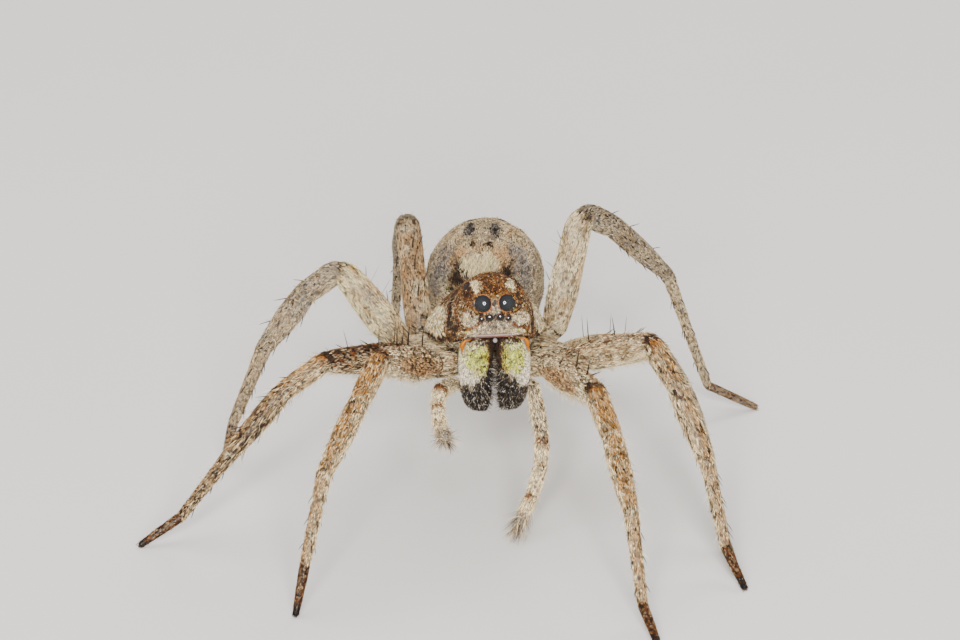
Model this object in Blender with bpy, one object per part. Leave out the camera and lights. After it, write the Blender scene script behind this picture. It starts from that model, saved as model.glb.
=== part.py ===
"""Wolf spider, a still life-size model, as solids that meet at thin cuts.

The animal faces -Y, its left side is +X, and its feet stand on the floor, z = 0.
Sizes are in millimetres and are turned into metres as each mesh is made.
"""
from math import asin, cos, degrees, pi, radians, sin, tan

import bmesh
import bpy
import numpy as np
from mathutils import Vector
from mathutils.bvhtree import BVHTree

MM = 0.001              # one millimetre in metres
CUT = 0.08              # thin cut between neighbouring pieces
ACROSS = np.array([1.0, 0.0, 0.0])
ALONG = np.array([0.0, 1.0, 0.0])
UP = np.array([0.0, 0.0, 1.0])
SIDES = {"left": 1.0, "right": -1.0}

# ---- head and thorax -------------------------------------------------------
HEAD_TURN = 2.5         # degrees that head, jaws and thorax look to the left of the legs
HEAD_PIVOT = (0.0, 2.0, 0.0)
# Stations from the face to the rear edge. The columns are the distance behind
# the face, the half width, the height of the margin and of the ridge, and how
# square the upper part of the section is.
CARAPACE_Y = (0.00, 0.12, 0.40, 1.00, 1.90, 2.90, 4.10, 5.50, 6.90, 7.90, 8.50, 8.78)
CARAPACE_HALF_WIDTH = (1.80, 2.02, 2.18, 2.34, 2.52, 2.80, 3.28, 3.60, 3.36, 2.62, 1.80, 1.10)
CARAPACE_MARGIN = (11.86, 11.80, 11.62, 11.32, 10.94, 10.54, 10.12, 9.88, 9.72, 9.62, 9.62, 9.66)
CARAPACE_RIDGE = (13.55, 14.02, 14.38, 14.68, 14.86, 14.66, 14.06, 13.36, 12.40, 11.36, 10.52, 10.06)
CARAPACE_SQUARE = (0.62, 0.64, 0.68, 0.76, 0.88, 1.06, 1.26, 1.34, 1.30, 1.20, 1.10, 1.00)
CARAPACE_SIDES = 26
MARGIN_THICKNESS = 0.10
JAW_ROOF = 11.84        # underside of the head over the jaws
BELLY_LEVEL = 9.86      # underside of the thorax, just above the hips
BELLY_START = 1.42      # behind the jaws the underside drops to that level
BELLY_DROP = 0.85       # length of that drop
BELLY_BULGE = 0.12

STERNUM_MIDDLE = 4.60
STERNUM_HALF_WIDTH = 1.55
STERNUM_HALF_LENGTH = 2.55
STERNUM_TOP = 9.42
# Heights down the sternum, each with its share of the full outline.
STERNUM_LEVELS = ((STERNUM_TOP, 1.0), (8.60, 1.0), (8.12, 0.94), (7.84, 0.76), (7.72, 0.45))
STERNUM_SIDES = 20

# ---- eyes: across, behind the face, height and radius -----------------------
EYES = {
    "anterior_median": (0.34, -0.04, 13.02, 0.22),
    "anterior_lateral": (0.82, 0.00, 12.93, 0.165),
    "posterior_median": (0.74, 0.10, 13.90, 0.49),
    "posterior_lateral": (1.40, 1.72, 14.16, 0.37),
}
EYE_HEIGHT = 0.62       # height of the lens against its radius
EYE_TURNS = (0.0, 28.0, 52.0, 74.0)     # degrees up the lens at each of its rings
EYE_SIDES = 10
LARGE_EYE_SIDES = 16
LARGE_EYE_RADIUS = 0.30
HEAD_MIDDLE = (0.0, 1.9, 13.1)
HEAD_PIECES = ("carapace", "sternum", "eye", "chelicera", "fang")

# ---- jaws -------------------------------------------------------------------
JAW_TOP = 11.60
JAW_LENGTH = 4.70
JAW_SHARE = (0.00, 0.12, 0.30, 0.50, 0.70, 0.86, 0.97, 1.00)
JAW_HALF_WIDTH = (0.86, 1.00, 1.05, 1.03, 0.93, 0.79, 0.57, 0.30)
JAW_HALF_DEPTH = (0.70, 0.90, 1.02, 1.02, 0.95, 0.80, 0.56, 0.28)
JAW_FORWARD = (0.55, 0.42, 0.28, 0.26, 0.34, 0.46, 0.56, 0.60)
JAW_SPREAD = 0.30       # how far the tips stand out to the side
JAW_SIDES = 14
FANG_LENGTH = 1.25
FANG_RADIUS = 0.25
FANG_BEND = 95.0        # degrees that the fang curls inward
FANG_ROOT = (1.22, 1.45, 0.75)          # across, back and above the tip of the jaw
FANG_SAG = 0.35         # how far the curl leans down
FANG_GAP = 0.30         # from the root down to the first ring
FANG_TAPER = 0.55
FANG_SHARES = (0.0, 0.25, 0.5, 0.75, 1.0)
FANG_SIDES = 8

# ---- abdomen ----------------------------------------------------------------
ABDOMEN_START = (-0.25, 9.04, 9.02)
ABDOMEN_LENGTH = 10.3
ABDOMEN_HALF_WIDTH = 3.70
ABDOMEN_HALF_HEIGHT = 3.68
ABDOMEN_SWING = 6.5     # degrees to the left
ABDOMEN_FULLNESS = 0.88 # below 1 the ends are blunter than an ellipse's
ABDOMEN_LEAN = 0.07     # how much fuller the rear half is
ABDOMEN_TURNS = (20.0, 168.0)           # degrees of the first and the last ring
ABDOMEN_RINGS = 15
ABDOMEN_SIDES = 28
PEDICEL_RADIUS = 0.34
PEDICEL_LENGTH = 0.85
PEDICEL_GAP = 0.05      # from its last ring to the start of the abdomen
SPINNERET_LENGTH = 1.15
SPINNERET_RADIUS = 0.62
SPINNERET_FLATNESS = 0.8
SPINNERET_PLACE = (0.10, 0.0, -0.55)    # behind the abdomen, across and up
SPINNERET_DROOP = 0.25
SPINNERET_SHAPE = ((0.0, 1.0), (0.4, 0.95), (0.75, 0.72), (1.0, 0.35))
SPINNERET_SIDES = 12

# ---- legs -------------------------------------------------------------------
# Lengths of femur, patella, tibia, metatarsus and tarsus for each pair.
LEG_LENGTHS = {
    1: (6.8, 3.2, 5.1, 5.2, 3.0),
    2: (6.6, 3.0, 4.8, 5.0, 2.9),
    3: (6.1, 2.8, 4.5, 5.5, 2.8),
    4: (7.6, 3.2, 6.0, 8.6, 3.5),
}
# Half thickness of each pair at the hip, the middle of the femur, the knee, the
# middle of the tibia, the start of the metatarsus, its end and the foot.
LEG_THICKNESS = {
    1: (0.76, 1.08, 0.70, 0.68, 0.50, 0.36, 0.24),
    2: (0.74, 0.98, 0.64, 0.68, 0.50, 0.35, 0.24),
    3: (0.74, 1.10, 0.78, 0.80, 0.56, 0.38, 0.27),
    4: (0.78, 1.12, 0.80, 0.72, 0.46, 0.33, 0.26),
}
FEMUR_FLATNESS = 0.76   # width of a femur against its depth
# Where each hip joint is, the heading of each segment in degrees from straight
# ahead to the outside, and its climb. The metatarsus takes the climb that
# brings the foot to the floor, so its place in the list holds None.
LEGS = {
    ("left", 1): ((3.30, 1.80, 9.05), (20, 15, 9, 16, 12), (9, -29, -30, None, -20)),
    ("right", 1): ((3.35, 1.95, 9.10), (33, 27, 29, 40, 41), (25, -27, -31, None, -72)),
    ("left", 2): ((4.75, 3.50, 8.60), (48, 32, 35, 17, 20), (25, -38, -54, None, -29)),
    ("right", 2): ((4.55, 3.60, 9.00), (55, 62, 75, 90, 81), (13, -24, -47, None, -33)),
    ("left", 3): ((4.50, 5.70, 7.92), (61, 38, 34, 11, 6), (16, -38, -54, None, -7)),
    ("right", 3): ((5.00, 5.55, 8.75), (107, 100, 98, 102, 102), (51, -39, -55, None, -78)),
    ("left", 4): ((4.05, 7.30, 8.60), (131, 129, 121, 112, 92), (72, -32, -45, None, -28)),
    ("right", 4): ((3.95, 7.30, 8.45), (175, 178, 178, 178, 178), (43, -32, -38, None, -22)),
}
COXA_START = {1: (1.58, 2.82), 2: (1.84, 4.05), 3: (1.84, 5.32), 4: (1.56, 6.55)}
COXA_RADIUS = 0.80
COXA_INNER_RADIUS = 0.52
COXA_HEIGHT = 8.85
LEG_SIDES = 12
FOOT_SIDES = 10
RING_STEP = 0.25        # least distance between two rings of a limb
FOOT_SINK = 0.30        # share of the foot's radius that its flat takes off
BEND_SIZES = (1.15, 1.15, 1.0, 1.2, 1.3)        # radius of each bend against the leg's there
TIP_SHARE = 0.55        # size of a free end's last ring against the ring before
TIP_LENGTH = 0.12

# ---- palps: like short legs without a metatarsus -----------------------------
PALP_LENGTHS = (3.3, 1.5, 1.8, 2.2)
PALP_START = (1.50, 1.95, 7.90)
PALP_THICKNESS = (0.42, 0.50, 0.48, 0.47, 0.44, 0.30)
PALPS = {
    "left": ((2.42, 1.35, 8.00), (13, -8, -32, -40), (-56, -64, -54, -47)),
    "right": ((2.36, 1.42, 8.12), (16, 8, -2, -5), (18, -19, -10, 6)),
}
PALP_SIDES = 10

# ---- colours ------------------------------------------------------------------
SAND = (0.50, 0.40, 0.28)
PALE = (0.60, 0.50, 0.38)
RUST = (0.30, 0.16, 0.08)
CREAM = (0.66, 0.56, 0.36)
UMBER = (0.12, 0.07, 0.04)
SLATE = (0.01, 0.01, 0.012)


# ---- helpers ------------------------------------------------------------------
def curve_through(knots, values, at):
    """Smooth curve through the values, without overshooting between knots."""
    knots = np.asarray(knots, float)
    values = np.asarray(values, float)
    at = np.asarray(at, float)
    steps = np.diff(values) / np.diff(knots)
    slopes = np.zeros(len(values))
    same_way = steps[:-1] * steps[1:] > 0
    mean = 2.0 * steps[:-1] * steps[1:] / np.where(same_way, steps[:-1] + steps[1:], 1.0)
    slopes[1:-1] = np.where(same_way, mean, 0.0)
    slopes[0] = steps[0]
    slopes[-1] = steps[-1]
    index = np.clip(np.searchsorted(knots, at, side="right") - 1, 0, len(steps) - 1)
    span = knots[index + 1] - knots[index]
    t = np.clip((at - knots[index]) / span, 0.0, 1.0)
    rise = t * t * (3.0 - 2.0 * t)
    start_bend = t * (1.0 - t) ** 2 * span * slopes[index]
    end_bend = t * t * (t - 1.0) * span * slopes[index + 1]
    return values[index] * (1.0 - rise) + values[index + 1] * rise + start_bend + end_bend


def unit(vector):
    return vector / np.linalg.norm(vector)


def material(name, colour, roughness, metallic=0.0):
    made = bpy.data.materials.new(name)
    made.use_nodes = True
    shader = made.node_tree.nodes["Principled BSDF"]
    shader.inputs["Base Color"].default_value = (*colour, 1.0)
    shader.inputs["Roughness"].default_value = roughness
    shader.inputs["Metallic"].default_value = metallic
    return made


def loft(name, rings, place, colour, roughness=0.7, sharp=40.0):
    """Closed body through the rings, each a loop of points in model millimetres."""
    place = np.asarray(place, float)
    mesh = bmesh.new()
    loops = [[mesh.verts.new((point - place) * MM) for point in ring] for ring in rings]
    for lower, upper in zip(loops, loops[1:]):
        count = len(lower)
        for i in range(count):
            j = (i + 1) % count
            mesh.faces.new((lower[i], lower[j], upper[j], upper[i]))
    mesh.faces.new(list(reversed(loops[0])))
    mesh.faces.new(loops[-1])
    if mesh.calc_volume(signed=True) < 0.0:
        bmesh.ops.reverse_faces(mesh, faces=mesh.faces)
    data = bpy.data.meshes.new(name)
    mesh.to_mesh(data)
    mesh.free()
    data.shade_smooth()
    data.set_sharp_from_angle(angle=radians(sharp))
    data.materials.append(material(name, colour, roughness))
    piece = bpy.data.objects.new(name, data)
    piece.location = place * MM
    bpy.context.collection.objects.link(piece)
    return piece


def oval(centre, across, along, half_across, half_along, sides):
    """Loop of points on an ellipse spanned by two directions."""
    turns = np.linspace(0.0, 2.0 * pi, sides, endpoint=False)[:, None]
    return centre + half_across * np.cos(turns) * across + half_along * np.sin(turns) * along


def heading_vector(side, heading, climb):
    """Direction from a heading away from straight ahead and a climb, in degrees."""
    turn, rise = radians(heading), radians(climb)
    return np.array([side * sin(turn) * cos(rise), -cos(turn) * cos(rise), sin(rise)])


# ---- limbs ----------------------------------------------------------------------
class Limb:
    """Centre line of a limb: straight segments joined by round bends."""

    def __init__(self, joints, bend_radii):
        self.joints = [np.asarray(joint, float) for joint in joints]
        steps = [b - a for a, b in zip(self.joints, self.joints[1:])]
        self.lengths = [float(np.linalg.norm(step)) for step in steps]
        self.ways = [unit(step) for step in steps]
        self.bend_radii = bend_radii

    def bend(self, joint):
        """Angle of the bend at an inner joint and the length it takes on each side."""
        before, after = self.ways[joint - 1], self.ways[joint]
        angle = float(np.arccos(np.clip(before @ after, -1.0, 1.0)))
        return angle, self.bend_radii[joint] * tan(angle / 2.0)

    def on_bend(self, joint, share):
        """Point and direction at a share of the bend, 0 at its start and 1 at its end."""
        before, after = self.ways[joint - 1], self.ways[joint]
        angle, reach = self.bend(joint)
        inward = after - (after @ before) * before
        size = np.linalg.norm(inward)
        inward = inward / size if size > 1e-6 else np.zeros(3)
        turn, radius = angle * share, self.bend_radii[joint]
        start = self.joints[joint] - reach * before
        point = start + radius * sin(turn) * before + radius * (1.0 - cos(turn)) * inward
        return point, unit(cos(turn) * before + sin(turn) * inward)

    def at(self, segment, share):
        """Point and direction at a share of a segment, round the bends at its ends."""
        length = self.lengths[segment]
        last = len(self.lengths) - 1
        if segment > 0:
            reach = self.bend(segment)[1] / length
            if share < reach:
                return self.on_bend(segment, 0.5 + 0.5 * share / reach)
        if segment < last:
            reach = self.bend(segment + 1)[1] / length
            if share > 1.0 - reach:
                return self.on_bend(segment + 1, 0.5 - 0.5 * (1.0 - share) / reach)
        return self.joints[segment] + share * length * self.ways[segment], self.ways[segment]

    def ring(self, segment, share, half_width, half_depth, sides, slide=0.0):
        """Ring of points square to the centre line, moved along it by slide."""
        point, way = self.at(segment, share)
        flat = unit(np.cross(way, UP))
        return oval(point + slide * way, flat, np.cross(flat, way), half_width, half_depth, sides)


def shares_between(limb, segment, inner):
    """Shares of a segment for its rings: the bends at both ends and some inner ones."""
    length = limb.lengths[segment]
    start = limb.bend(segment)[1] / length if segment > 0 else 0.0
    end = limb.bend(segment + 1)[1] / length if segment < len(limb.lengths) - 1 else 0.0
    middle = np.linspace(start, 1.0 - end, inner + 2)[1:-1]
    wanted = [start * 0.5, start, *middle, 1.0 - end, 1.0 - end * 0.5]
    shares = [0.0]
    for share in wanted:
        if min(share - shares[-1], 1.0 - share) * length > RING_STEP:
            shares.append(share)
    return shares + [1.0]


def limb_rings(limb, spans, thickness, flatness, sides, ends):
    """Rings of a piece over its segments, drawn back at each end that is cut."""
    rings = []
    for number, (segment, inner) in enumerate(spans):
        shares = shares_between(limb, segment, inner)
        if number > 0:
            shares = shares[1:]
        for share in shares:
            depth = float(thickness(segment, share))
            slide = 0.0
            if share == 0.0 and number == 0 and ends[0]:
                slide = CUT / 2.0
            if share == 1.0 and number == len(spans) - 1 and ends[1]:
                slide = -CUT / 2.0
            width = depth * flatness(segment, share)
            rings.append(limb.ring(segment, share, width, depth, sides, slide))
    return rings


def leg_joints(side, hip, lengths, headings, climbs, foot_radius):
    """Joints of a leg from the hip to the tip; the metatarsus drops to the floor."""
    points = [np.array([side * hip[0], hip[1], hip[2]])]
    for number, length in enumerate(lengths):
        climb = climbs[number]
        if climb is None:
            tip_height = foot_radius * (1.0 - FOOT_SINK)
            next_height = tip_height - lengths[-1] * sin(radians(climbs[-1]))
            climb = degrees(asin((next_height - points[-1][2]) / length))
        points.append(points[-1] + length * heading_vector(side, headings[number], climb))
    return points


def leg_thickness(pair):
    """Half depth of a leg of this pair at a share of one of its segments."""
    hip, femur, knee, tibia, start, end, foot = LEG_THICKNESS[pair]
    shapes = [
        ((0.0, 0.5, 1.0), (COXA_INNER_RADIUS, COXA_RADIUS, hip)),
        ((0.0, 0.38, 0.8, 1.0), (hip, femur, 0.5 * (femur + knee), knee)),
        ((0.0, 0.5, 1.0), (knee, knee, 0.5 * (knee + tibia) - 0.04)),
        ((0.0, 0.35, 1.0), (0.5 * (knee + tibia) - 0.04, tibia, start)),
        ((0.0, 0.3, 1.0), (start, 0.5 * (start + end), end)),
        ((0.0, 0.6, 1.0), (end, 0.5 * (end + foot) + 0.01, foot)),
    ]

    def thickness(segment, share):
        knots, values = shapes[segment]
        return curve_through(knots, values, share)

    return thickness


def leg_flatness(segment, share):
    """Femora are deeper than wide; the rest of the leg is round."""
    if segment != 1:
        return 1.0
    return 1.0 - (1.0 - FEMUR_FLATNESS) * sin(pi * share)


def close_tip(rings):
    """Rounds the free end of a limb with one smaller ring."""
    last, before = rings[-1], rings[-2]
    middle = last.mean(axis=0)
    way = unit(middle - before.mean(axis=0))
    return rings + [middle + (last - middle) * TIP_SHARE + way * TIP_LENGTH]


def stand_on_floor(rings):
    """Flattens what would reach below the floor into a small flat on it."""
    return [np.column_stack([ring[:, :2], np.maximum(ring[:, 2], 0.0)]) for ring in rings]


def build_leg(side_name, pair):
    side = SIDES[side_name]
    hip, headings, climbs = LEGS[side_name, pair]
    thick = LEG_THICKNESS[pair]
    joints = leg_joints(side, hip, LEG_LENGTHS[pair], headings, climbs, thick[6])
    start = np.array([side * COXA_START[pair][0], COXA_START[pair][1], COXA_HEIGHT])
    at_bends = (thick[0], thick[2], thick[2], thick[4], thick[5])
    bends = [0.0, *(size * radius for size, radius in zip(BEND_SIZES, at_bends)), 0.0]
    limb = Limb([start] + joints, bends)
    thickness = leg_thickness(pair)
    name = "leg_%s_%d_" % (side_name, pair)
    # Each piece has its segments with their inner rings, sides, colour and cut ends.
    pieces = {
        "coxa": ([(0, 1)], LEG_SIDES, PALE, (False, True)),
        "femur": ([(1, 4)], LEG_SIDES, SAND, (True, True)),
        "tibia": ([(2, 1), (3, 2)], LEG_SIDES, SAND, (True, True)),
        "metatarsus": ([(4, 2)], FOOT_SIDES, PALE, (True, True)),
        "tarsus": ([(5, 2)], FOOT_SIDES, RUST, (True, False)),
    }
    for part, (spans, sides, colour, ends) in pieces.items():
        rings = limb_rings(limb, spans, thickness, leg_flatness, sides, ends)
        if part == "tarsus":
            rings = stand_on_floor(close_tip(rings))
        loft(name + part, rings, limb.joints[spans[0][0]], colour)


def build_palp(side_name):
    side = SIDES[side_name]
    hip, headings, climbs = PALPS[side_name]
    joints = [np.array([side * hip[0], hip[1], hip[2]])]
    for length, heading, climb in zip(PALP_LENGTHS, headings, climbs):
        joints.append(joints[-1] + length * heading_vector(side, heading, climb))
    start = np.array([side * PALP_START[0], PALP_START[1], PALP_START[2]])
    root, femur, knee, tibia, tarsus, tip = PALP_THICKNESS
    limb = Limb([start] + joints, [0.0, root, knee, knee, tibia, 0.0])
    shapes = [
        ((0.0, 1.0), (root * 0.9, root)),
        ((0.0, 0.5, 1.0), (root, femur, knee)),
        ((0.0, 0.5, 1.0), (knee, knee, knee * 0.92)),
        ((0.0, 0.5, 1.0), (knee * 0.92, tibia, tarsus)),
        ((0.0, 0.5, 1.0), (tarsus, tarsus, tip)),
    ]

    def thickness(segment, share):
        knots, values = shapes[segment]
        return curve_through(knots, values, share)

    def round_section(segment, share):
        return 1.0

    name = "palp_%s_" % side_name
    upper = [(0, 1), (1, 2), (2, 1)]
    rings = limb_rings(limb, upper, thickness, round_section, PALP_SIDES, (False, True))
    loft(name + "upper", rings, limb.joints[0], SAND)
    lower = [(3, 2), (4, 2)]
    rings = limb_rings(limb, lower, thickness, round_section, PALP_SIDES, (True, False))
    loft(name + "lower", close_tip(rings), limb.joints[3], PALE)


# ---- head and thorax --------------------------------------------------------------
def carapace_ring(y):
    """Section of the carapace: a dome over the margin and a shallow belly under it."""
    half = float(curve_through(CARAPACE_Y, CARAPACE_HALF_WIDTH, y))
    margin = float(curve_through(CARAPACE_Y, CARAPACE_MARGIN, y))
    ridge = float(curve_through(CARAPACE_Y, CARAPACE_RIDGE, y))
    square = float(curve_through(CARAPACE_Y, CARAPACE_SQUARE, y))
    drop = np.clip((y - BELLY_START) / BELLY_DROP, 0.0, 1.0)
    middle = JAW_ROOF + (BELLY_LEVEL - JAW_ROOF) * drop * drop * (3.0 - 2.0 * drop)
    rim = margin - MARGIN_THICKNESS
    if y > BELLY_START + BELLY_DROP:
        middle = min(middle, rim - BELLY_BULGE)
    turns = np.linspace(0.0, 2.0 * pi, CARAPACE_SIDES, endpoint=False)
    across, rise = np.cos(turns), np.sin(turns)
    x = half * np.sign(across) * np.abs(across) ** square
    dome = margin + (ridge - margin) * np.abs(rise) ** square
    under = rim + (middle - rim) * np.sqrt(np.abs(rise))
    z = np.where(rise >= -1e-9, dome, under)
    return np.column_stack([x, np.full_like(x, y), z])


def build_carapace():
    stations = sorted(CARAPACE_Y + (BELLY_START, BELLY_START + BELLY_DROP))
    rings = [carapace_ring(y) for y in stations]
    return loft("carapace", rings, (0.0, CARAPACE_Y[7], CARAPACE_MARGIN[7]), RUST)


def build_sternum():
    rings = []
    for height, share in STERNUM_LEVELS:
        centre = np.array([0.0, STERNUM_MIDDLE, height])
        half_width, half_length = STERNUM_HALF_WIDTH * share, STERNUM_HALF_LENGTH * share
        rings.append(oval(centre, ACROSS, ALONG, half_width, half_length, STERNUM_SIDES))
    loft("sternum", rings, (0.0, STERNUM_MIDDLE, STERNUM_TOP), UMBER)


def on_carapace(carapace, target):
    """Point and outward direction where the ray from the head's middle leaves it."""
    tree = BVHTree.FromObject(carapace, bpy.context.evaluated_depsgraph_get())
    place = np.array(carapace.location)
    start = np.array(HEAD_MIDDLE) * MM - place
    way = unit(np.asarray(target) - np.array(HEAD_MIDDLE))
    hit, normal = tree.ray_cast(Vector(start), Vector(way))[:2]
    return (np.array(hit) + place) / MM, np.array(normal)


def build_eye(carapace, side_name, kind):
    """Lens on a flat base, a thin cut in front of the head."""
    side = SIDES[side_name]
    across, back, height, radius = EYES[kind]
    point, way = on_carapace(carapace, (side * across, back, height))
    flat = unit(np.cross(way, UP))
    rise = np.cross(flat, way)
    base = point + way * CUT / 2.0
    sides = LARGE_EYE_SIDES if radius > LARGE_EYE_RADIUS else EYE_SIDES
    rings = []
    for turn in np.radians(EYE_TURNS):
        centre = base + way * radius * EYE_HEIGHT * sin(turn)
        rings.append(oval(centre, flat, rise, radius * cos(turn), radius * cos(turn), sides))
    loft("eye_%s_%s" % (kind, side_name), rings, base, SLATE, roughness=0.05)


def build_jaw(side_name):
    """Upright body that spreads from its fellow with the cube of the way down."""
    side = SIDES[side_name]
    rings = []
    stations = zip(JAW_SHARE, JAW_HALF_WIDTH, JAW_HALF_DEPTH, JAW_FORWARD)
    for share, half_width, half_depth, forward in stations:
        inner = CUT / 2.0 + JAW_SPREAD * share ** 3
        centre = np.array([side * (inner + half_width), forward, JAW_TOP - JAW_LENGTH * share])
        rings.append(oval(centre, ACROSS, ALONG, half_width, half_depth, JAW_SIDES))
    loft("chelicera_%s" % side_name, rings, (side, 0.5, JAW_TOP), CREAM)


def build_fang(side_name):
    """Tapering horn along an arc that curls inward and down behind the jaw."""
    side = SIDES[side_name]
    across, back, above = FANG_ROOT
    root = np.array([side * across, back, JAW_TOP - JAW_LENGTH + above])
    arm = FANG_LENGTH / radians(FANG_BEND)
    rings = []
    for share in FANG_SHARES:
        turn = radians(FANG_BEND) * share
        drop = FANG_GAP + arm * FANG_SAG * (1.0 - cos(turn))
        centre = root + np.array([-side * arm * sin(turn), 0.0, -drop])
        way = unit(np.array([-side * cos(turn), 0.0, -FANG_SAG * sin(turn)]))
        radius = FANG_RADIUS * (1.0 - FANG_TAPER * share)
        rings.append(oval(centre, ALONG, np.cross(ALONG, way), radius, radius, FANG_SIDES))
    loft("fang_%s" % side_name, rings, root, UMBER, roughness=0.3)


# ---- abdomen -----------------------------------------------------------------------
def abdomen_point(y, across, up):
    """From the abdomen's own axes to the model's, swung a little to one side."""
    turn = radians(ABDOMEN_SWING)
    along_x = y * sin(turn) + across * cos(turn)
    along_y = y * cos(turn) - across * sin(turn)
    return np.array(ABDOMEN_START) + np.array([along_x, along_y, up])


def abdomen_ring(y, half_width, half_height):
    turn = radians(ABDOMEN_SWING)
    return oval(abdomen_point(y, 0.0, 0.0), np.array([cos(turn), -sin(turn), 0.0]), UP,
                half_width, half_height, ABDOMEN_SIDES)


def build_abdomen():
    rings = [abdomen_ring(-PEDICEL_LENGTH, PEDICEL_RADIUS, PEDICEL_RADIUS),
             abdomen_ring(-PEDICEL_GAP, PEDICEL_RADIUS, PEDICEL_RADIUS)]
    for turn in np.radians(np.linspace(*ABDOMEN_TURNS, ABDOMEN_RINGS)):
        full = sin(turn) ** ABDOMEN_FULLNESS * (1.0 - ABDOMEN_LEAN * cos(turn))
        y = ABDOMEN_LENGTH * (0.5 - 0.5 * cos(turn))
        rings.append(abdomen_ring(y, ABDOMEN_HALF_WIDTH * full, ABDOMEN_HALF_HEIGHT * full))
    loft("abdomen", rings, ABDOMEN_START, SAND)


def build_spinnerets():
    turn = radians(ABDOMEN_SWING)
    way = unit(np.array([sin(turn), cos(turn), -SPINNERET_DROOP]))
    flat = unit(np.cross(way, UP))
    rise = np.cross(flat, way)
    behind, across, up = SPINNERET_PLACE
    root = abdomen_point(ABDOMEN_LENGTH + behind, across, up)
    rings = []
    for share, size in SPINNERET_SHAPE:
        centre = root + way * SPINNERET_LENGTH * share
        radius = SPINNERET_RADIUS * size
        rings.append(oval(centre, flat, rise, radius, radius * SPINNERET_FLATNESS, SPINNERET_SIDES))
    loft("spinnerets", rings, root, PALE)


# ---- whole animal -------------------------------------------------------------------
def clear_scene():
    for old in list(bpy.data.objects):
        bpy.data.objects.remove(old, do_unlink=True)


def gather_pieces():
    """Parents every piece to one empty."""
    spider = bpy.data.objects.new("spider", None)
    bpy.context.collection.objects.link(spider)
    for piece in bpy.data.objects:
        if piece.type == "MESH":
            piece.parent = spider
    return spider


def turn_head(spider):
    """Parents the pieces of head and thorax to an empty that turns them a little."""
    head = bpy.data.objects.new("head", None)
    bpy.context.collection.objects.link(head)
    pivot = np.array(HEAD_PIVOT) * MM
    for piece in bpy.data.objects:
        if piece.type == "MESH" and piece.name.startswith(HEAD_PIECES):
            piece.location = np.array(piece.location) - pivot
            piece.parent = head
    head.location = pivot
    head.rotation_euler = (0.0, 0.0, radians(HEAD_TURN))
    head.parent = spider


def stand_on_origin(spider):
    """Moves the model so that the middle of its footprint is the origin."""
    bpy.context.view_layer.update()
    pieces = [piece for piece in bpy.data.objects if piece.type == "MESH"]
    points = np.array([piece.matrix_world @ vertex.co
                       for piece in pieces for vertex in piece.data.vertices])
    middle = (points.min(axis=0) + points.max(axis=0)) / 2.0
    spider.location = (-middle[0], -middle[1], -points[:, 2].min())
    bpy.context.view_layer.update()


def main():
    clear_scene()
    carapace = build_carapace()
    build_sternum()
    build_abdomen()
    build_spinnerets()
    for side_name in SIDES:
        for kind in EYES:
            build_eye(carapace, side_name, kind)
        build_jaw(side_name)
        build_fang(side_name)
        build_palp(side_name)
        for pair in LEG_LENGTHS:
            build_leg(side_name, pair)
    spider = gather_pieces()
    turn_head(spider)
    stand_on_origin(spider)


main()
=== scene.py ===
"""Looks of a still, life-size wolf spider: skin, coat, spines, eyes, fangs and claws.

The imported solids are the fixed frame. The animal faces -Y and its left side is +X.
Sizes are in model millimetres, as in the source of the solids, and become metres
in the frame's own place when a mesh is made.
"""
from math import cos, degrees, asin, pi, radians, sin, sqrt, tan

import bpy
import numpy as np
from mathutils import Matrix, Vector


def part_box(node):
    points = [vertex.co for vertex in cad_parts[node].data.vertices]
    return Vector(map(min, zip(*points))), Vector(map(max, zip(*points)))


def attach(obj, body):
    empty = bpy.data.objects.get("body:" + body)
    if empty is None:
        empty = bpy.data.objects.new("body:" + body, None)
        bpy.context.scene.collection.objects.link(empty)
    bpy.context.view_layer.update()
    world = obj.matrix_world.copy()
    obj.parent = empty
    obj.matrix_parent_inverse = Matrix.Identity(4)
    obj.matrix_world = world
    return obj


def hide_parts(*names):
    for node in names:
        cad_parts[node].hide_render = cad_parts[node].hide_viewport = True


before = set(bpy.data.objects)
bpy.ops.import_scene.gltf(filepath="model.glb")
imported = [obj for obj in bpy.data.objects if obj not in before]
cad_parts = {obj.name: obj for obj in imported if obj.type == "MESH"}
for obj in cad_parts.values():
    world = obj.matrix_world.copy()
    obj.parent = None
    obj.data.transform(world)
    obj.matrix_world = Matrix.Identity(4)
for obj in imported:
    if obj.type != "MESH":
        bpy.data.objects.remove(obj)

bl_info = {
    "name": "Wolf Spider Looks",
    "version": (1, 0, 0),
    "blender": (4, 5, 0),
    "location": "3D View > Sidebar > Spider",
    "description": "Skin, coat, eyes, fangs and claws of a life-size wolf spider",
    "category": "Object",
}

MM = 0.001
ACROSS, BACKWARDS, UP = np.eye(3)     # the model's three axes
SIDES = {"left": 1.0, "right": -1.0}

# ---- head and thorax: the same sizes as the solids ----
HEAD_TURN = 2.5
HEAD_PIVOT = np.array([0.0, 2.0, 0.0])
CARAPACE_Y = (0.00, 0.12, 0.40, 1.00, 1.90, 2.90, 4.10, 5.50, 6.90, 7.90, 8.50, 8.78)
CARAPACE_HALF_WIDTH = (1.80, 2.02, 2.18, 2.34, 2.52, 2.80, 3.28, 3.60, 3.36, 2.62, 1.80, 1.10)
CARAPACE_MARGIN = (11.86, 11.80, 11.62, 11.32, 10.94, 10.54, 10.12, 9.88, 9.72, 9.62, 9.62, 9.66)
CARAPACE_RIDGE = (13.55, 14.02, 14.38, 14.68, 14.86, 14.66, 14.06, 13.36, 12.40, 11.36, 10.52, 10.06)
CARAPACE_SQUARE = (0.62, 0.64, 0.68, 0.76, 0.88, 1.06, 1.26, 1.34, 1.30, 1.20, 1.10, 1.00)
MARGIN_THICKNESS = 0.10
JAW_ROOF = 11.84
BELLY_LEVEL = 9.86
BELLY_START = 1.42
BELLY_DROP = 0.85
BELLY_BULGE = 0.12
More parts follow.
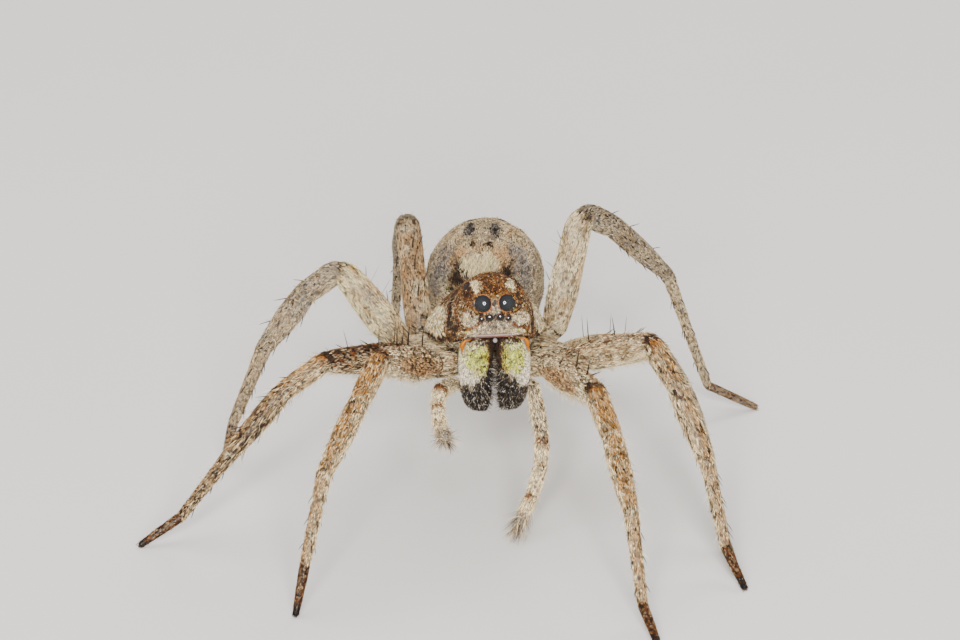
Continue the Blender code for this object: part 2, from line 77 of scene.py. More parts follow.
FACE_BULGE = 0.10
STERNUM_MIDDLE = 4.60
STERNUM_HALF_WIDTH = 1.55
STERNUM_HALF_LENGTH = 2.55
STERNUM_TOP = 9.42
STERNUM_BOTTOM = 7.72
FOVEA = (5.3, 6.9)      # groove along the middle of the thorax

# ---- eyes: across, behind the face, height and radius ----
EYES = {
    "anterior_median": (0.34, -0.04, 13.02, 0.22),
    "anterior_lateral": (0.82, 0.00, 12.93, 0.165),
    "posterior_median": (0.74, 0.10, 13.90, 0.49),
    "posterior_lateral": (1.40, 1.72, 14.16, 0.37),
}
EYE_HEIGHT = 0.62
HEAD_MIDDLE = np.array([0.0, 1.9, 13.1])
EYE_SWELL = {"posterior_median": 1.06, "anterior_median": 1.05,
             "anterior_lateral": 1.1, "posterior_lateral": 0.85}
SEAT_HEIGHT = {"posterior_median": 0.09, "anterior_median": 0.02,
               "anterior_lateral": 0.02, "posterior_lateral": 0.14}
SOCKET_SHADE = {"posterior_median": 0.0, "anterior_median": 0.75,
                "anterior_lateral": 0.75, "posterior_lateral": 0.9}
SIDE_EYE_SINK = 0.10
SIDE_EYE_LEAN = np.array([0.0, 0.45, 0.0])      # the rear side eyes look further back
BROW_PATH = ((1.00, 1.62, 14.58), (1.16, 1.22, 14.45), (1.24, 0.84, 14.24))
EYE_RAISE = 0.05

# ---- where the head's markings run, on its left side before it turns ----
SLIT_PATH = ((1.12, 1.80, 14.55), (1.28, 1.25, 14.40), (1.42, 0.80, 14.18))
FLANK_PATH = ((1.85, 3.80, 13.10), (2.22, 3.00, 12.88), (2.42, 2.42, 12.50), (2.52, 2.42, 12.02),
              (2.60, 2.30, 11.72))
FLANK_FOOT = ((2.60, 2.55, 11.72), (2.42, 1.40, 11.90), (2.28, 0.85, 12.10))
FLANK_LINE = ((1.45, 0.75, 14.15), (1.72, 0.66, 13.86), (2.03, 0.76, 13.36), (2.30, 1.14, 12.49))
CRESCENT_PATH = ((1.98, 2.97, 13.28), (2.26, 2.61, 12.90), (2.33, 2.01, 12.75), (2.33, 1.44, 12.56))
STREAK_PATH = ((0.92, 0.0, 12.66), (1.30, 0.0, 12.44), (1.60, 0.0, 12.33), (2.08, 0.25, 12.25))
LOW_STRIPE_PATH = ((0.95, -0.02, 12.14), (1.52, 0.0, 12.08), (1.98, 0.12, 11.98), (2.2, 0.4, 11.9))
BAND_Y = (1.4, 1.9, 2.4, 3.0, 4.5, 6.0, 8.0)
BAND_HEIGHT = (0.02, 0.09, 0.17, 0.38, 0.54, 0.48, 0.45)

# ---- jaws ----
CUT = 0.08
JAW_TOP = 11.60
JAW_LENGTH = 4.70
JAW_SHARE = (0.00, 0.12, 0.30, 0.50, 0.70, 0.86, 0.97, 1.00)
JAW_HALF_WIDTH = (0.86, 1.00, 1.05, 1.03, 0.93, 0.79, 0.57, 0.30)
JAW_HALF_DEPTH = (0.70, 0.90, 1.02, 1.02, 0.95, 0.80, 0.56, 0.28)
JAW_FORWARD = (0.55, 0.42, 0.28, 0.26, 0.34, 0.46, 0.56, 0.60)
JAW_SPREAD = 0.30
JAW_BORDER_AT = (-1.0, -0.75, -0.35, 0.2, 0.7, 1.0)        # from the inner side to the outer one
JAW_BORDER = (0.27, 0.34, 0.44, 0.55, 0.60, 0.58)          # share of the length where the dark part starts
FANG_LENGTH = 1.25
FANG_RADIUS = 0.25
FANG_TURN = 95.0        # angle that a fang curls through

# ---- abdomen ----
ABDOMEN_START = np.array([-0.25, 9.04, 9.02])
ABDOMEN_LENGTH = 10.3
ABDOMEN_HALF_WIDTH = 3.70
ABDOMEN_HALF_HEIGHT = 3.68
ABDOMEN_SWING = 6.5
# Corners of the two dark patches of painted shadow beside the abdomen's front.
HOLLOW_SHADOWS = (((-1.72, 2.62), (-1.98, 0.85), (-0.42, 1.05)), ((1.72, 2.50), (0.66, 1.05), (1.95, 0.95)))
REAR_SPOTS = (((1.05, 7.15), (0.40, 0.22)), ((0.92, 8.05), (0.34, 0.19)), ((0.70, 8.80), (0.26, 0.15)))
PEDICEL_RADIUS = 0.34
PEDICEL_LENGTH = 0.85
SPINNERET_LENGTH = 1.15
FINGERS = ((-0.30, 0.16, 1.0, 0.20), (0.30, 0.16, 1.0, 0.20), (-0.10, 0.0, 0.6, 0.13),
           (0.10, 0.0, 0.6, 0.13), (-0.27, -0.20, 0.8, 0.20), (0.27, -0.20, 0.8, 0.20))

# ---- legs ----
LEG_LENGTHS = {
    1: (6.8, 3.2, 5.1, 5.2, 3.0),
    2: (6.6, 3.0, 4.8, 5.0, 2.9),
    3: (6.1, 2.8, 4.5, 5.5, 2.8),
    4: (7.6, 3.2, 6.0, 8.6, 3.5),
}
LEG_THICKNESS = {
    1: (0.76, 1.08, 0.70, 0.68, 0.50, 0.36, 0.24),
    2: (0.74, 0.98, 0.64, 0.68, 0.50, 0.35, 0.24),
    3: (0.74, 1.10, 0.78, 0.80, 0.56, 0.38, 0.27),
    4: (0.78, 1.12, 0.80, 0.72, 0.46, 0.33, 0.26),
}
FEMUR_FLATNESS = 0.76
LEGS = {
    ("left", 1): ((3.30, 1.80, 9.05), (20, 15, 9, 16, 12), (9, -29, -30, None, -20)),
    ("right", 1): ((3.35, 1.95, 9.10), (33, 27, 29, 40, 41), (25, -27, -31, None, -72)),
    ("left", 2): ((4.75, 3.50, 8.60), (48, 32, 35, 17, 20), (25, -38, -54, None, -29)),
    ("right", 2): ((4.55, 3.60, 9.00), (55, 62, 75, 90, 81), (13, -24, -47, None, -33)),
    ("left", 3): ((4.50, 5.70, 7.92), (61, 38, 34, 11, 6), (16, -38, -54, None, -7)),
    ("right", 3): ((5.00, 5.55, 8.75), (107, 100, 98, 102, 102), (51, -39, -55, None, -78)),
    ("left", 4): ((4.05, 7.30, 8.60), (131, 129, 121, 112, 92), (72, -32, -45, None, -28)),
    ("right", 4): ((3.95, 7.30, 8.45), (175, 178, 178, 178, 178), (43, -32, -38, None, -22)),
}
LEGS_IN_ORDER = [(side_name, pair) for side_name in SIDES for pair in LEG_LENGTHS]
COXA_START = {1: (1.58, 2.82), 2: (1.84, 4.05), 3: (1.84, 5.32), 4: (1.56, 6.55)}
COXA_RADIUS = 0.80
COXA_INNER_RADIUS = 0.52
COXA_HEIGHT = 8.85
FOOT_SINK = 0.30
TOP_TURN = 90.0         # turn round a limb at which a point lies on top
COXA, FEMUR, PATELLA, TIBIA, METATARSUS, TARSUS = range(6)
FEMUR_SPINES = {("left", 1): (0.60, 0.85), ("left", 2): (0.27, 0.63),
                ("right", 2): (0.12, 0.25, 0.39, 0.75)}

# ---- palps ----
PALP_LENGTHS = (3.3, 1.5, 1.8, 2.2)
PALP_START = (1.50, 1.95, 7.90)
PALP_THICKNESS = (0.42, 0.50, 0.48, 0.47, 0.44, 0.30)
PALPS = {
    "left": ((2.42, 1.35, 8.00), (13, -8, -32, -40), (-56, -64, -54, -47)),
    "right": ((2.36, 1.42, 8.12), (16, 8, -2, -5), (18, -19, -10, 6)),
}

# ---- fineness, camera and floor ----
LIMB_STEP = 0.16        # distance between the rings of a limb
FLOOR_GAP = 0.01        # what lies on the floor keeps this above it
STRAND_SINK = 0.02      # depth of a root in the skin
RING_CORNERS = 3        # corners of a strand's rings
CAMERA_HEADING = -3.38
CAMERA_HEIGHT_ANGLE = 24.0
CAMERA_DISTANCE = 220.0
CAMERA_AIM = np.array([-0.76, 0.47, 12.65])
CAMERA_LENS = 141.9
LAMP_COUNT = 8
LAMP_RING = 125.0
LAMP_DISTANCE = 600.0
LAMP_SIZE = 0.09
LAMP_POWER = 8.5        # of the whole ring, in watts
FAR_LAMPS = (("top", (-200.0, 60.0, 720.0), 0.80, 4.2), ("rear", (260.0, 460.0, 420.0), 0.30, 1.8))
LIGHT_AIM = np.array([0.0, 3.0, 10.0])
ROOM_COLOUR = (1.0, 0.98, 0.95, 1.0)
ROOM_LIGHT = 0.34
FLOOR_REACH = 1500.0
PATCH = 0.003           # size of one tuft on the coat's map
MAP_CELLS = 6           # cells across the skin's map, one for each surface

# ---- settings of single bristles, and what some hairs are coloured in place of the marks ----
MARK_SHARPNESS = 7.0     # how abruptly a tuft takes a mark's colour
BRISTLE = {"clump": 1, "shares": (0.1, 0.6), "sizes": (1.0, 0.7)}
SILVER = {"cream": 0.8, "black": 0.0, "dark": 0.05, "grey": 0.6}
JAW_BLACK = {"cream": 0.0, "black": 0.8, "dark": 0.6}
FRINGE_PALE = {"cream": 0.9, "dark": 0.02, "rust": 0.0}
TUFT_CREAM = {"cream": 0.95, "dark": 0.0, "black": 0.0, "rust": 0.0, "peach": 0.2}
BRUSH_GREY = {"cream": 0.35, "dark": 0.35, "grey": 0.6}
ERECT_HAIRS = {1: 480, 2: 620, 3: 300, 4: 90}
FRINGE_HAIRS = {1: 300, 2: 380, 3: 160, 4: 30}

MARKS = ("rust", "cream", "dark", "grey", "peach", "orange", "black", "yellow", "bare")
MARK_SETS = {"marks": MARKS[0:3], "tints": MARKS[3:6], "shades": MARKS[6:9]}
HAIR_PLACES = ("fringe", "tip", "tuft", "inside", "low")        # where single bristles may stand


# ---- sizes and colours that a user would change ----
class SpiderSizes(bpy.types.PropertyGroup):
    """Measures of the coat"""

    coat_depth: bpy.props.FloatProperty(
        name="Coat depth", description="How far the skin lies inside the solids",
        default=0.00006, min=0.0, max=0.0002, precision=5, unit="LENGTH")
    strand_length: bpy.props.FloatProperty(
        name="Strand length", description="Length of every hair against its designed length",
        default=1.0, min=0.3, max=2.0, subtype="FACTOR")
    fullness: bpy.props.FloatProperty(
        name="Fullness", description="Number of hairs against the designed number",
        default=1.0, min=0.05, max=1.0, subtype="FACTOR")


def colour_property(name, description, default):
    """A colour that a user may change."""
    return bpy.props.FloatVectorProperty(
        name=name, description=description, default=default, min=0.0, max=1.0, size=3, subtype="COLOR")


class SpiderColours(bpy.types.PropertyGroup):
    """Colours that the marks stand for"""

    sand: colour_property("Sand", "Ground colour of legs and body", (0.52, 0.355, 0.175))
    cream: colour_property("Cream", "Pale hairs and patches", (0.90, 0.74, 0.45))
    grey: colour_property("Grey", "Grey hairs of back legs and abdomen", (0.33, 0.28, 0.23))
    peach: colour_property("Peach", "Warm blotches", (0.60, 0.35, 0.15))
    rust: colour_property("Rust", "Red-brown hairs of head and feet", (0.22, 0.062, 0.010))
    orange: colour_property("Orange", "Orange hairs of the knees", (0.50, 0.21, 0.02))
    yellow: colour_property("Yellow", "Fronts of the jaws", (0.74, 0.80, 0.09))
    dark: colour_property("Dark", "Dark brown hairs", (0.045, 0.022, 0.011))
    black: colour_property("Black", "Black hairs and spines", (0.015, 0.012, 0.011))
    floor: colour_property("Floor", "Floor under the animal", (0.78, 0.75, 0.71))


# ---- numbers ----
def unit(vectors):
    """Vectors along the last axis, each divided by its own length."""
    return vectors / np.maximum(np.linalg.norm(vectors, axis=-1, keepdims=True), 1e-12)


def smooth(low, high, value):
    """S-shaped rise from 0 at low to 1 at high; low may be the larger one."""
    t = np.clip((value - low) / (high - low), 0.0, 1.0)
    return t * t * (3.0 - 2.0 * t)


def bump_at(value, middle, width):
    """Bell that is 1 at the middle and falls off with the square of the distance over the width."""
    return np.exp(-((value - middle) / width) ** 2)


def spot(x, y, middle, radii, fray=0.0):
    """1 inside an ellipse, 0 outside it, with its edge pushed in and out by fray."""
    distance = np.hypot((x - middle[0]) / radii[0], (y - middle[1]) / radii[1])
    return smooth(1.2, 0.8, distance + fray)


def near_path(points, path):
    """Distance from each point to a line through a few places."""
    path = np.asarray(path, float)
    nearest = np.full(points.shape[:-1], np.inf)
    for start, end in zip(path, path[1:]):
        step = end - start
        share = np.clip((points - start) @ step / (step @ step), 0.0, 1.0)
        nearest = np.minimum(nearest, np.linalg.norm(points - start - share[..., None] * step, axis=-1))
    return nearest


def stroke(points, path, width, fray=0.0):
    """1 within half the width of a line through a few places, with a frayed edge."""
    return smooth(0.62 * width, 0.38 * width, near_path(points, path) + fray * width)


def wobble(points, size, seed):
    """Smooth irregular field of about -1 to 1: a sum of sine waves of that size in random directions."""
    rng = np.random.default_rng(seed)
    count = 14
    ways = unit(rng.normal(size=(count, 3))).T * (2.0 * pi / size) * rng.uniform(0.5, 1.7, count)
    return np.sin(points @ ways + rng.uniform(0.0, 2.0 * pi, count)).sum(axis=-1) / sqrt(count)


def curve_through(knots, values, at):
    """Smooth curve through the values, without overshooting between knots."""
    knots = np.asarray(knots, float)
    values = np.asarray(values, float)
    at = np.asarray(at, float)
    steps = np.diff(values) / np.diff(knots)
    slopes = np.zeros(len(values))
    same_way = steps[:-1] * steps[1:] > 0
    mean = 2.0 * steps[:-1] * steps[1:] / np.where(same_way, steps[:-1] + steps[1:], 1.0)
    slopes[1:-1] = np.where(same_way, mean, 0.0)
    slopes[0] = steps[0]
    slopes[-1] = steps[-1]
    index = np.clip(np.searchsorted(knots, at, side="right") - 1, 0, len(steps) - 1)
    span = knots[index + 1] - knots[index]
    t = np.clip((at - knots[index]) / span, 0.0, 1.0)
    rise = t * t * (3.0 - 2.0 * t)
    start_bend = t * (1.0 - t) ** 2 * span * slopes[index]
    end_bend = t * t * (t - 1.0) * span * slopes[index + 1]
    return values[index] * (1.0 - rise) + values[index + 1] * rise + start_bend + end_bend


def turn_about(points, angle, pivot):
    """Points turned by an angle in degrees about the upright line through the pivot."""
    c, s = cos(radians(angle)), sin(radians(angle))
    turning = np.array([[c, s, 0.0], [-s, c, 0.0], [0.0, 0.0, 1.0]])
    return (points - pivot) @ turning + pivot


def turn_head(points):
    """Points turned with the head."""
    return turn_about(points, HEAD_TURN, HEAD_PIVOT)


def model_to_frame():
    """Move from model millimetres to the frame's millimetres, read off the sternum's place."""
    low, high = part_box("sternum")
    designed = turn_head(np.array([0.0, STERNUM_MIDDLE, STERNUM_TOP]))
    found = np.array([(low.x + high.x) / 2.0, (low.y + high.y) / 2.0, high.z]) / MM
    return found - designed


SHIFT = model_to_frame()


def keep_above_floor(points):
    """Lifts what would lie lower than the gap above the floor."""
    points[..., 2] = np.maximum(points[..., 2], FLOOR_GAP - SHIFT[2])


# ---- surfaces ----
class Surface:
    """Closed surface on a grid: rows run along the body part and columns run round it.

    Fields are grids too: the marks, the share of hairs (density), their length and their lift.
    """

    def __init__(self, points, fields, lie=None, depth=0.0):
        self.points = points
        self.measure()
        if depth:
            self.points = points - self.normals * depth
            self.measure()
        self.lie = self.ahead if lie is None else lie
        shape = points.shape[:2]
        given = {name: np.clip(fields.get(name, 0.0), 0.0, 1.0) for name in MARKS}
        given.update({name: fields.get(name, 1.0) for name in ("density", "length", "lift")})
        given.update({name: np.maximum(fields.get(name, 0.0), 0.0) for name in HAIR_PLACES})
        self.fields = {name: np.broadcast_to(field, shape) for name, field in given.items()}

    def measure(self):
        """Direction along the rows and outward normals, from differences between neighbours."""
        points = self.points
        self.ahead = unit(np.gradient(points, axis=0))
        around = np.roll(points, -1, axis=1) - np.roll(points, 1, axis=1)
        self.normals = unit(np.cross(around, self.ahead))
        if ((points - points.mean(axis=1, keepdims=True)) * self.normals).sum() < 0.0:
            self.normals = -self.normals

    def scatter(self, count, rng, weight):
        """Random cells in proportion to their area times the weight, with a place inside each."""
        low, high = self.points[:-1], self.points[1:]
        side = np.roll(low, -1, axis=1) - low
        area = np.linalg.norm(np.cross(side, high - low), axis=-1) * weight[:-1]
        total = np.cumsum(area.ravel())
        cells = np.searchsorted(total, rng.uniform(0.0, total[-1], count))
        rows, columns = np.divmod(np.minimum(cells, area.size - 1), area.shape[1])
        return rows, columns, rng.uniform(size=(count, 1)), rng.uniform(size=(count, 1))

    def at(self, grid, rows, columns, s, t):
        """Value of a grid inside cells, blended between the four corners."""
        if grid.ndim == 2:
            grid = grid[..., None]
        after = (columns + 1) % grid.shape[1]
        near = grid[rows, columns] * (1.0 - t) + grid[rows, after] * t
        far = grid[rows + 1, columns] * (1.0 - t) + grid[rows + 1, after] * t
        return near * (1.0 - s) + far * s


def cap_rows(ring, rows, bulge):
    """Rings that shrink from a ring to its middle, pushed out by bulge times one minus share squared."""
    share = np.linspace(1.0, 0.0, rows + 1)[1:-1, None, None]
    middle = ring.mean(axis=0)
    return middle + (ring - middle) * share + np.asarray(bulge) * (1.0 - share ** 2)


def oval_rings(centres, across, along, half_across, half_along, turns):
    """Rings of points on ellipses: centre + a cos(turn) across + b sin(turn) along.

    Across and along are one direction for each ring, or one for them all.
    """
    c, s = np.cos(turns)[None, :, None], np.sin(turns)[None, :, None]
    across, along = (np.broadcast_to(way, centres.shape)[:, None] for way in (across, along))
    return centres[:, None] + half_across[:, None, None] * c * across + half_along[:, None, None] * s * along


def turns_of(columns):
    """Angles of a ring's columns, in radians."""
    return np.linspace(0.0, 2.0 * pi, columns, endpoint=False)


def fade(marks, names, share):
    """Takes a share of each of these marks away."""
    for name in names:
        marks[name] = marks[name] * (1.0 - share)


def leg_name(side_name, pair):
    """Name of a leg in the list of surfaces."""
    return "leg_%s_%d" % (side_name, pair)


# ---- limbs ----
class LimbLine:
    """Centre line of a limb: straight segments joined by round bends, sampled in small steps.

    A bend is start + r sin(t) before + r (1 - cos(t)) inward, half of it on each segment.
    """

    def __init__(self, joints, bend_radii):
        joints = [np.asarray(joint, float) for joint in joints]
        steps = [b - a for a, b in zip(joints, joints[1:])]
        lengths = [float(np.linalg.norm(step)) for step in steps]
        ways = [step / length for step, length in zip(steps, lengths)]
        points, along, segments, shares = [], [], [], []
        start = 0.0
        for k, (way, length) in enumerate(zip(ways, lengths)):
            last = k == len(ways) - 1
            angle = 0.0 if last else float(np.arccos(np.clip(way @ ways[k + 1], -1.0, 1.0)))
            reach = 0.0 if last else bend_radii[k + 1] * tan(angle / 2.0)
            count = max(2, int((length - start - reach) / LIMB_STEP))
            run = np.linspace(start, length - reach, count, endpoint=last)[:, None]
            points.append(joints[k] + run * way)
            along.append(np.repeat(way[None], count, axis=0))
            segments.append(np.full(count, k))
            shares.append(run[:, 0] / length)
            if not last:
                radius = bend_radii[k + 1]
                inward = unit(ways[k + 1] - (ways[k + 1] @ way) * way)
                count = max(6, int(radius * angle / LIMB_STEP * 1.6))
                turn = np.linspace(0.0, angle, count, endpoint=False)[:, None]
                begin = joints[k + 1] - reach * way
                points.append(begin + radius * np.sin(turn) * way + radius * (1.0 - np.cos(turn)) * inward)
                along.append(unit(np.cos(turn) * way + np.sin(turn) * inward))
                half = turn[:, 0] / angle
                segments.append(np.where(half < 0.5, k, k + 1))
                before = 1.0 - reach / length * (1.0 - 2.0 * half)
                after = reach / lengths[k + 1] * (2.0 * half - 1.0)
                shares.append(np.where(half < 0.5, before, after))
            start = reach
        self.points = np.concatenate(points)
        self.ways = np.concatenate(along)
        self.segments = np.concatenate(segments)
        self.shares = np.concatenate(shares)
        self.arc = np.concatenate([[0.0], np.cumsum(np.linalg.norm(np.diff(self.points, axis=0), axis=1))])
        self.joint_arcs = [self.arc[np.argmax(self.segments >= k)] for k in range(1, len(lengths))]

    def from_joint(self, number):
        """Distance of each ring past an inner joint, in millimetres."""
        return self.arc - self.joint_arcs[number - 1]


def heading_vector(side, heading, climb):
    """Direction from a heading away from straight ahead and a climb, in degrees."""
    turn, rise = radians(heading), radians(climb)
    return np.array([side * sin(turn) * cos(rise), -cos(turn) * cos(rise), sin(rise)])


def leg_line(side_name, pair):
    """Joints from the hip to the tip; the metatarsus takes the climb that brings the foot down."""
    side = SIDES[side_name]
    hip, headings, climbs = LEGS[side_name, pair]
    thick = LEG_THICKNESS[pair]
    joints = [np.array([side * COXA_START[pair][0], COXA_START[pair][1], COXA_HEIGHT]),
              np.array([side * hip[0], hip[1], hip[2]])]
    lengths = LEG_LENGTHS[pair]
    for length, heading, climb in zip(lengths, headings, climbs):
        if climb is None:
            tip_height = thick[6] * (1.0 - FOOT_SINK)
            next_height = tip_height - lengths[-1] * sin(radians(climbs[-1]))
            climb = degrees(asin((next_height - joints[-1][2]) / length))
        joints.append(joints[-1] + length * heading_vector(side, heading, climb))
    bends = [0.0, thick[0] * 1.15, thick[2] * 1.15, thick[2], thick[4] * 1.2, thick[5] * 1.3, 0.0]
    return LimbLine(joints, bends)


def palp_line(side_name):
    """Joints of a palp from its hip to its tip."""
    side = SIDES[side_name]
    hip, headings, climbs = PALPS[side_name]
    joints = [np.array([side * PALP_START[0], PALP_START[1], PALP_START[2]]),
              np.array([side * hip[0], hip[1], hip[2]])]
    for length, heading, climb in zip(PALP_LENGTHS, headings, climbs):
        joints.append(joints[-1] + length * heading_vector(side, heading, climb))
    root, _, knee, tibia, _, _ = PALP_THICKNESS
    return LimbLine(joints, [0.0, root, knee, knee, tibia, 0.0])


def limb_depths(line, shapes):
    """Half depth of each ring: a smooth curve through the sizes of its own segment."""
    depths = np.zeros(len(line.arc))
    for k, (knots, values) in enumerate(shapes):
        inside = line.segments == k
        depths[inside] = curve_through(knots, values, line.shares[inside])
    return depths


def limb_points(line, depths, widths, columns, depth, tip_rows=7):
    """Rings square to the line; the tip closes as a dome, radius sqrt(1 - t squared) along its own radius."""
    depths = np.maximum(depths - depth, 0.05)
    widths = np.maximum(widths - depth, 0.05)
    t = np.linspace(0.0, 1.0, tip_rows + 1)[1:, None]
    t[-1] = 0.985
    centres = np.concatenate([line.points, line.points[-1] + 0.5 * depths[-1] * t * line.ways[-1]])
    ways = np.concatenate([line.ways, np.repeat(line.ways[-1:], tip_rows, axis=0)])
    shrink = np.sqrt(1.0 - t[:, 0] ** 2)
    depths = np.concatenate([depths, depths[-1] * shrink])
    widths = np.concatenate([widths, widths[-1] * shrink])
    flat = unit(np.cross(ways, UP))
    return oval_rings(centres, flat, np.cross(flat, ways), widths, depths, turns_of(columns))


def stretch(values, rows):
    """A per-ring list drawn out over the tip's rows with its last value."""
    return np.concatenate([values, np.repeat(values[-1], rows - len(values))])


def leg_surface(side_name, pair, depth):
    """Leg skin: oval rings along the line, drawn in at each joint like a shallow fold."""
    line = leg_line(side_name, pair)
    hip, femur, knee, tibia, start, end, foot = LEG_THICKNESS[pair]
    shin = 0.5 * (knee + tibia) - 0.04
    depths = limb_depths(line, [
        ((0.0, 0.5, 1.0), (COXA_INNER_RADIUS, COXA_RADIUS, hip)),
        ((0.0, 0.38, 0.8, 1.0), (hip, femur, 0.5 * (femur + knee), knee)),
        ((0.0, 0.5, 1.0), (knee, knee, shin)),
        ((0.0, 0.35, 1.0), (shin, tibia, start)),
        ((0.0, 0.3, 1.0), (start, 0.5 * (start + end), end)),
        ((0.0, 0.6, 1.0), (end, 0.5 * (end + foot) + 0.01, foot)),
    ])
    for joint, groove in ((1, 0.10), (2, 0.05), (3, 0.06), (4, 0.05), (5, 0.04)):
        depths = depths * (1.0 - groove * bump_at(line.from_joint(joint), 0.0, 0.09))
    flat = np.where(line.segments == FEMUR, np.sin(pi * line.shares), 0.0)
    widths = depths * (1.0 - (1.0 - FEMUR_FLATNESS) * flat)
    columns = 28
    points = limb_points(line, depths, widths, columns, depth)
    keep_above_floor(points)
    fields = leg_marks(side_name, pair, line, points, turns_of(columns)[None, :])
    surface = Surface(points, fields)
    surface.line = line
    return surface


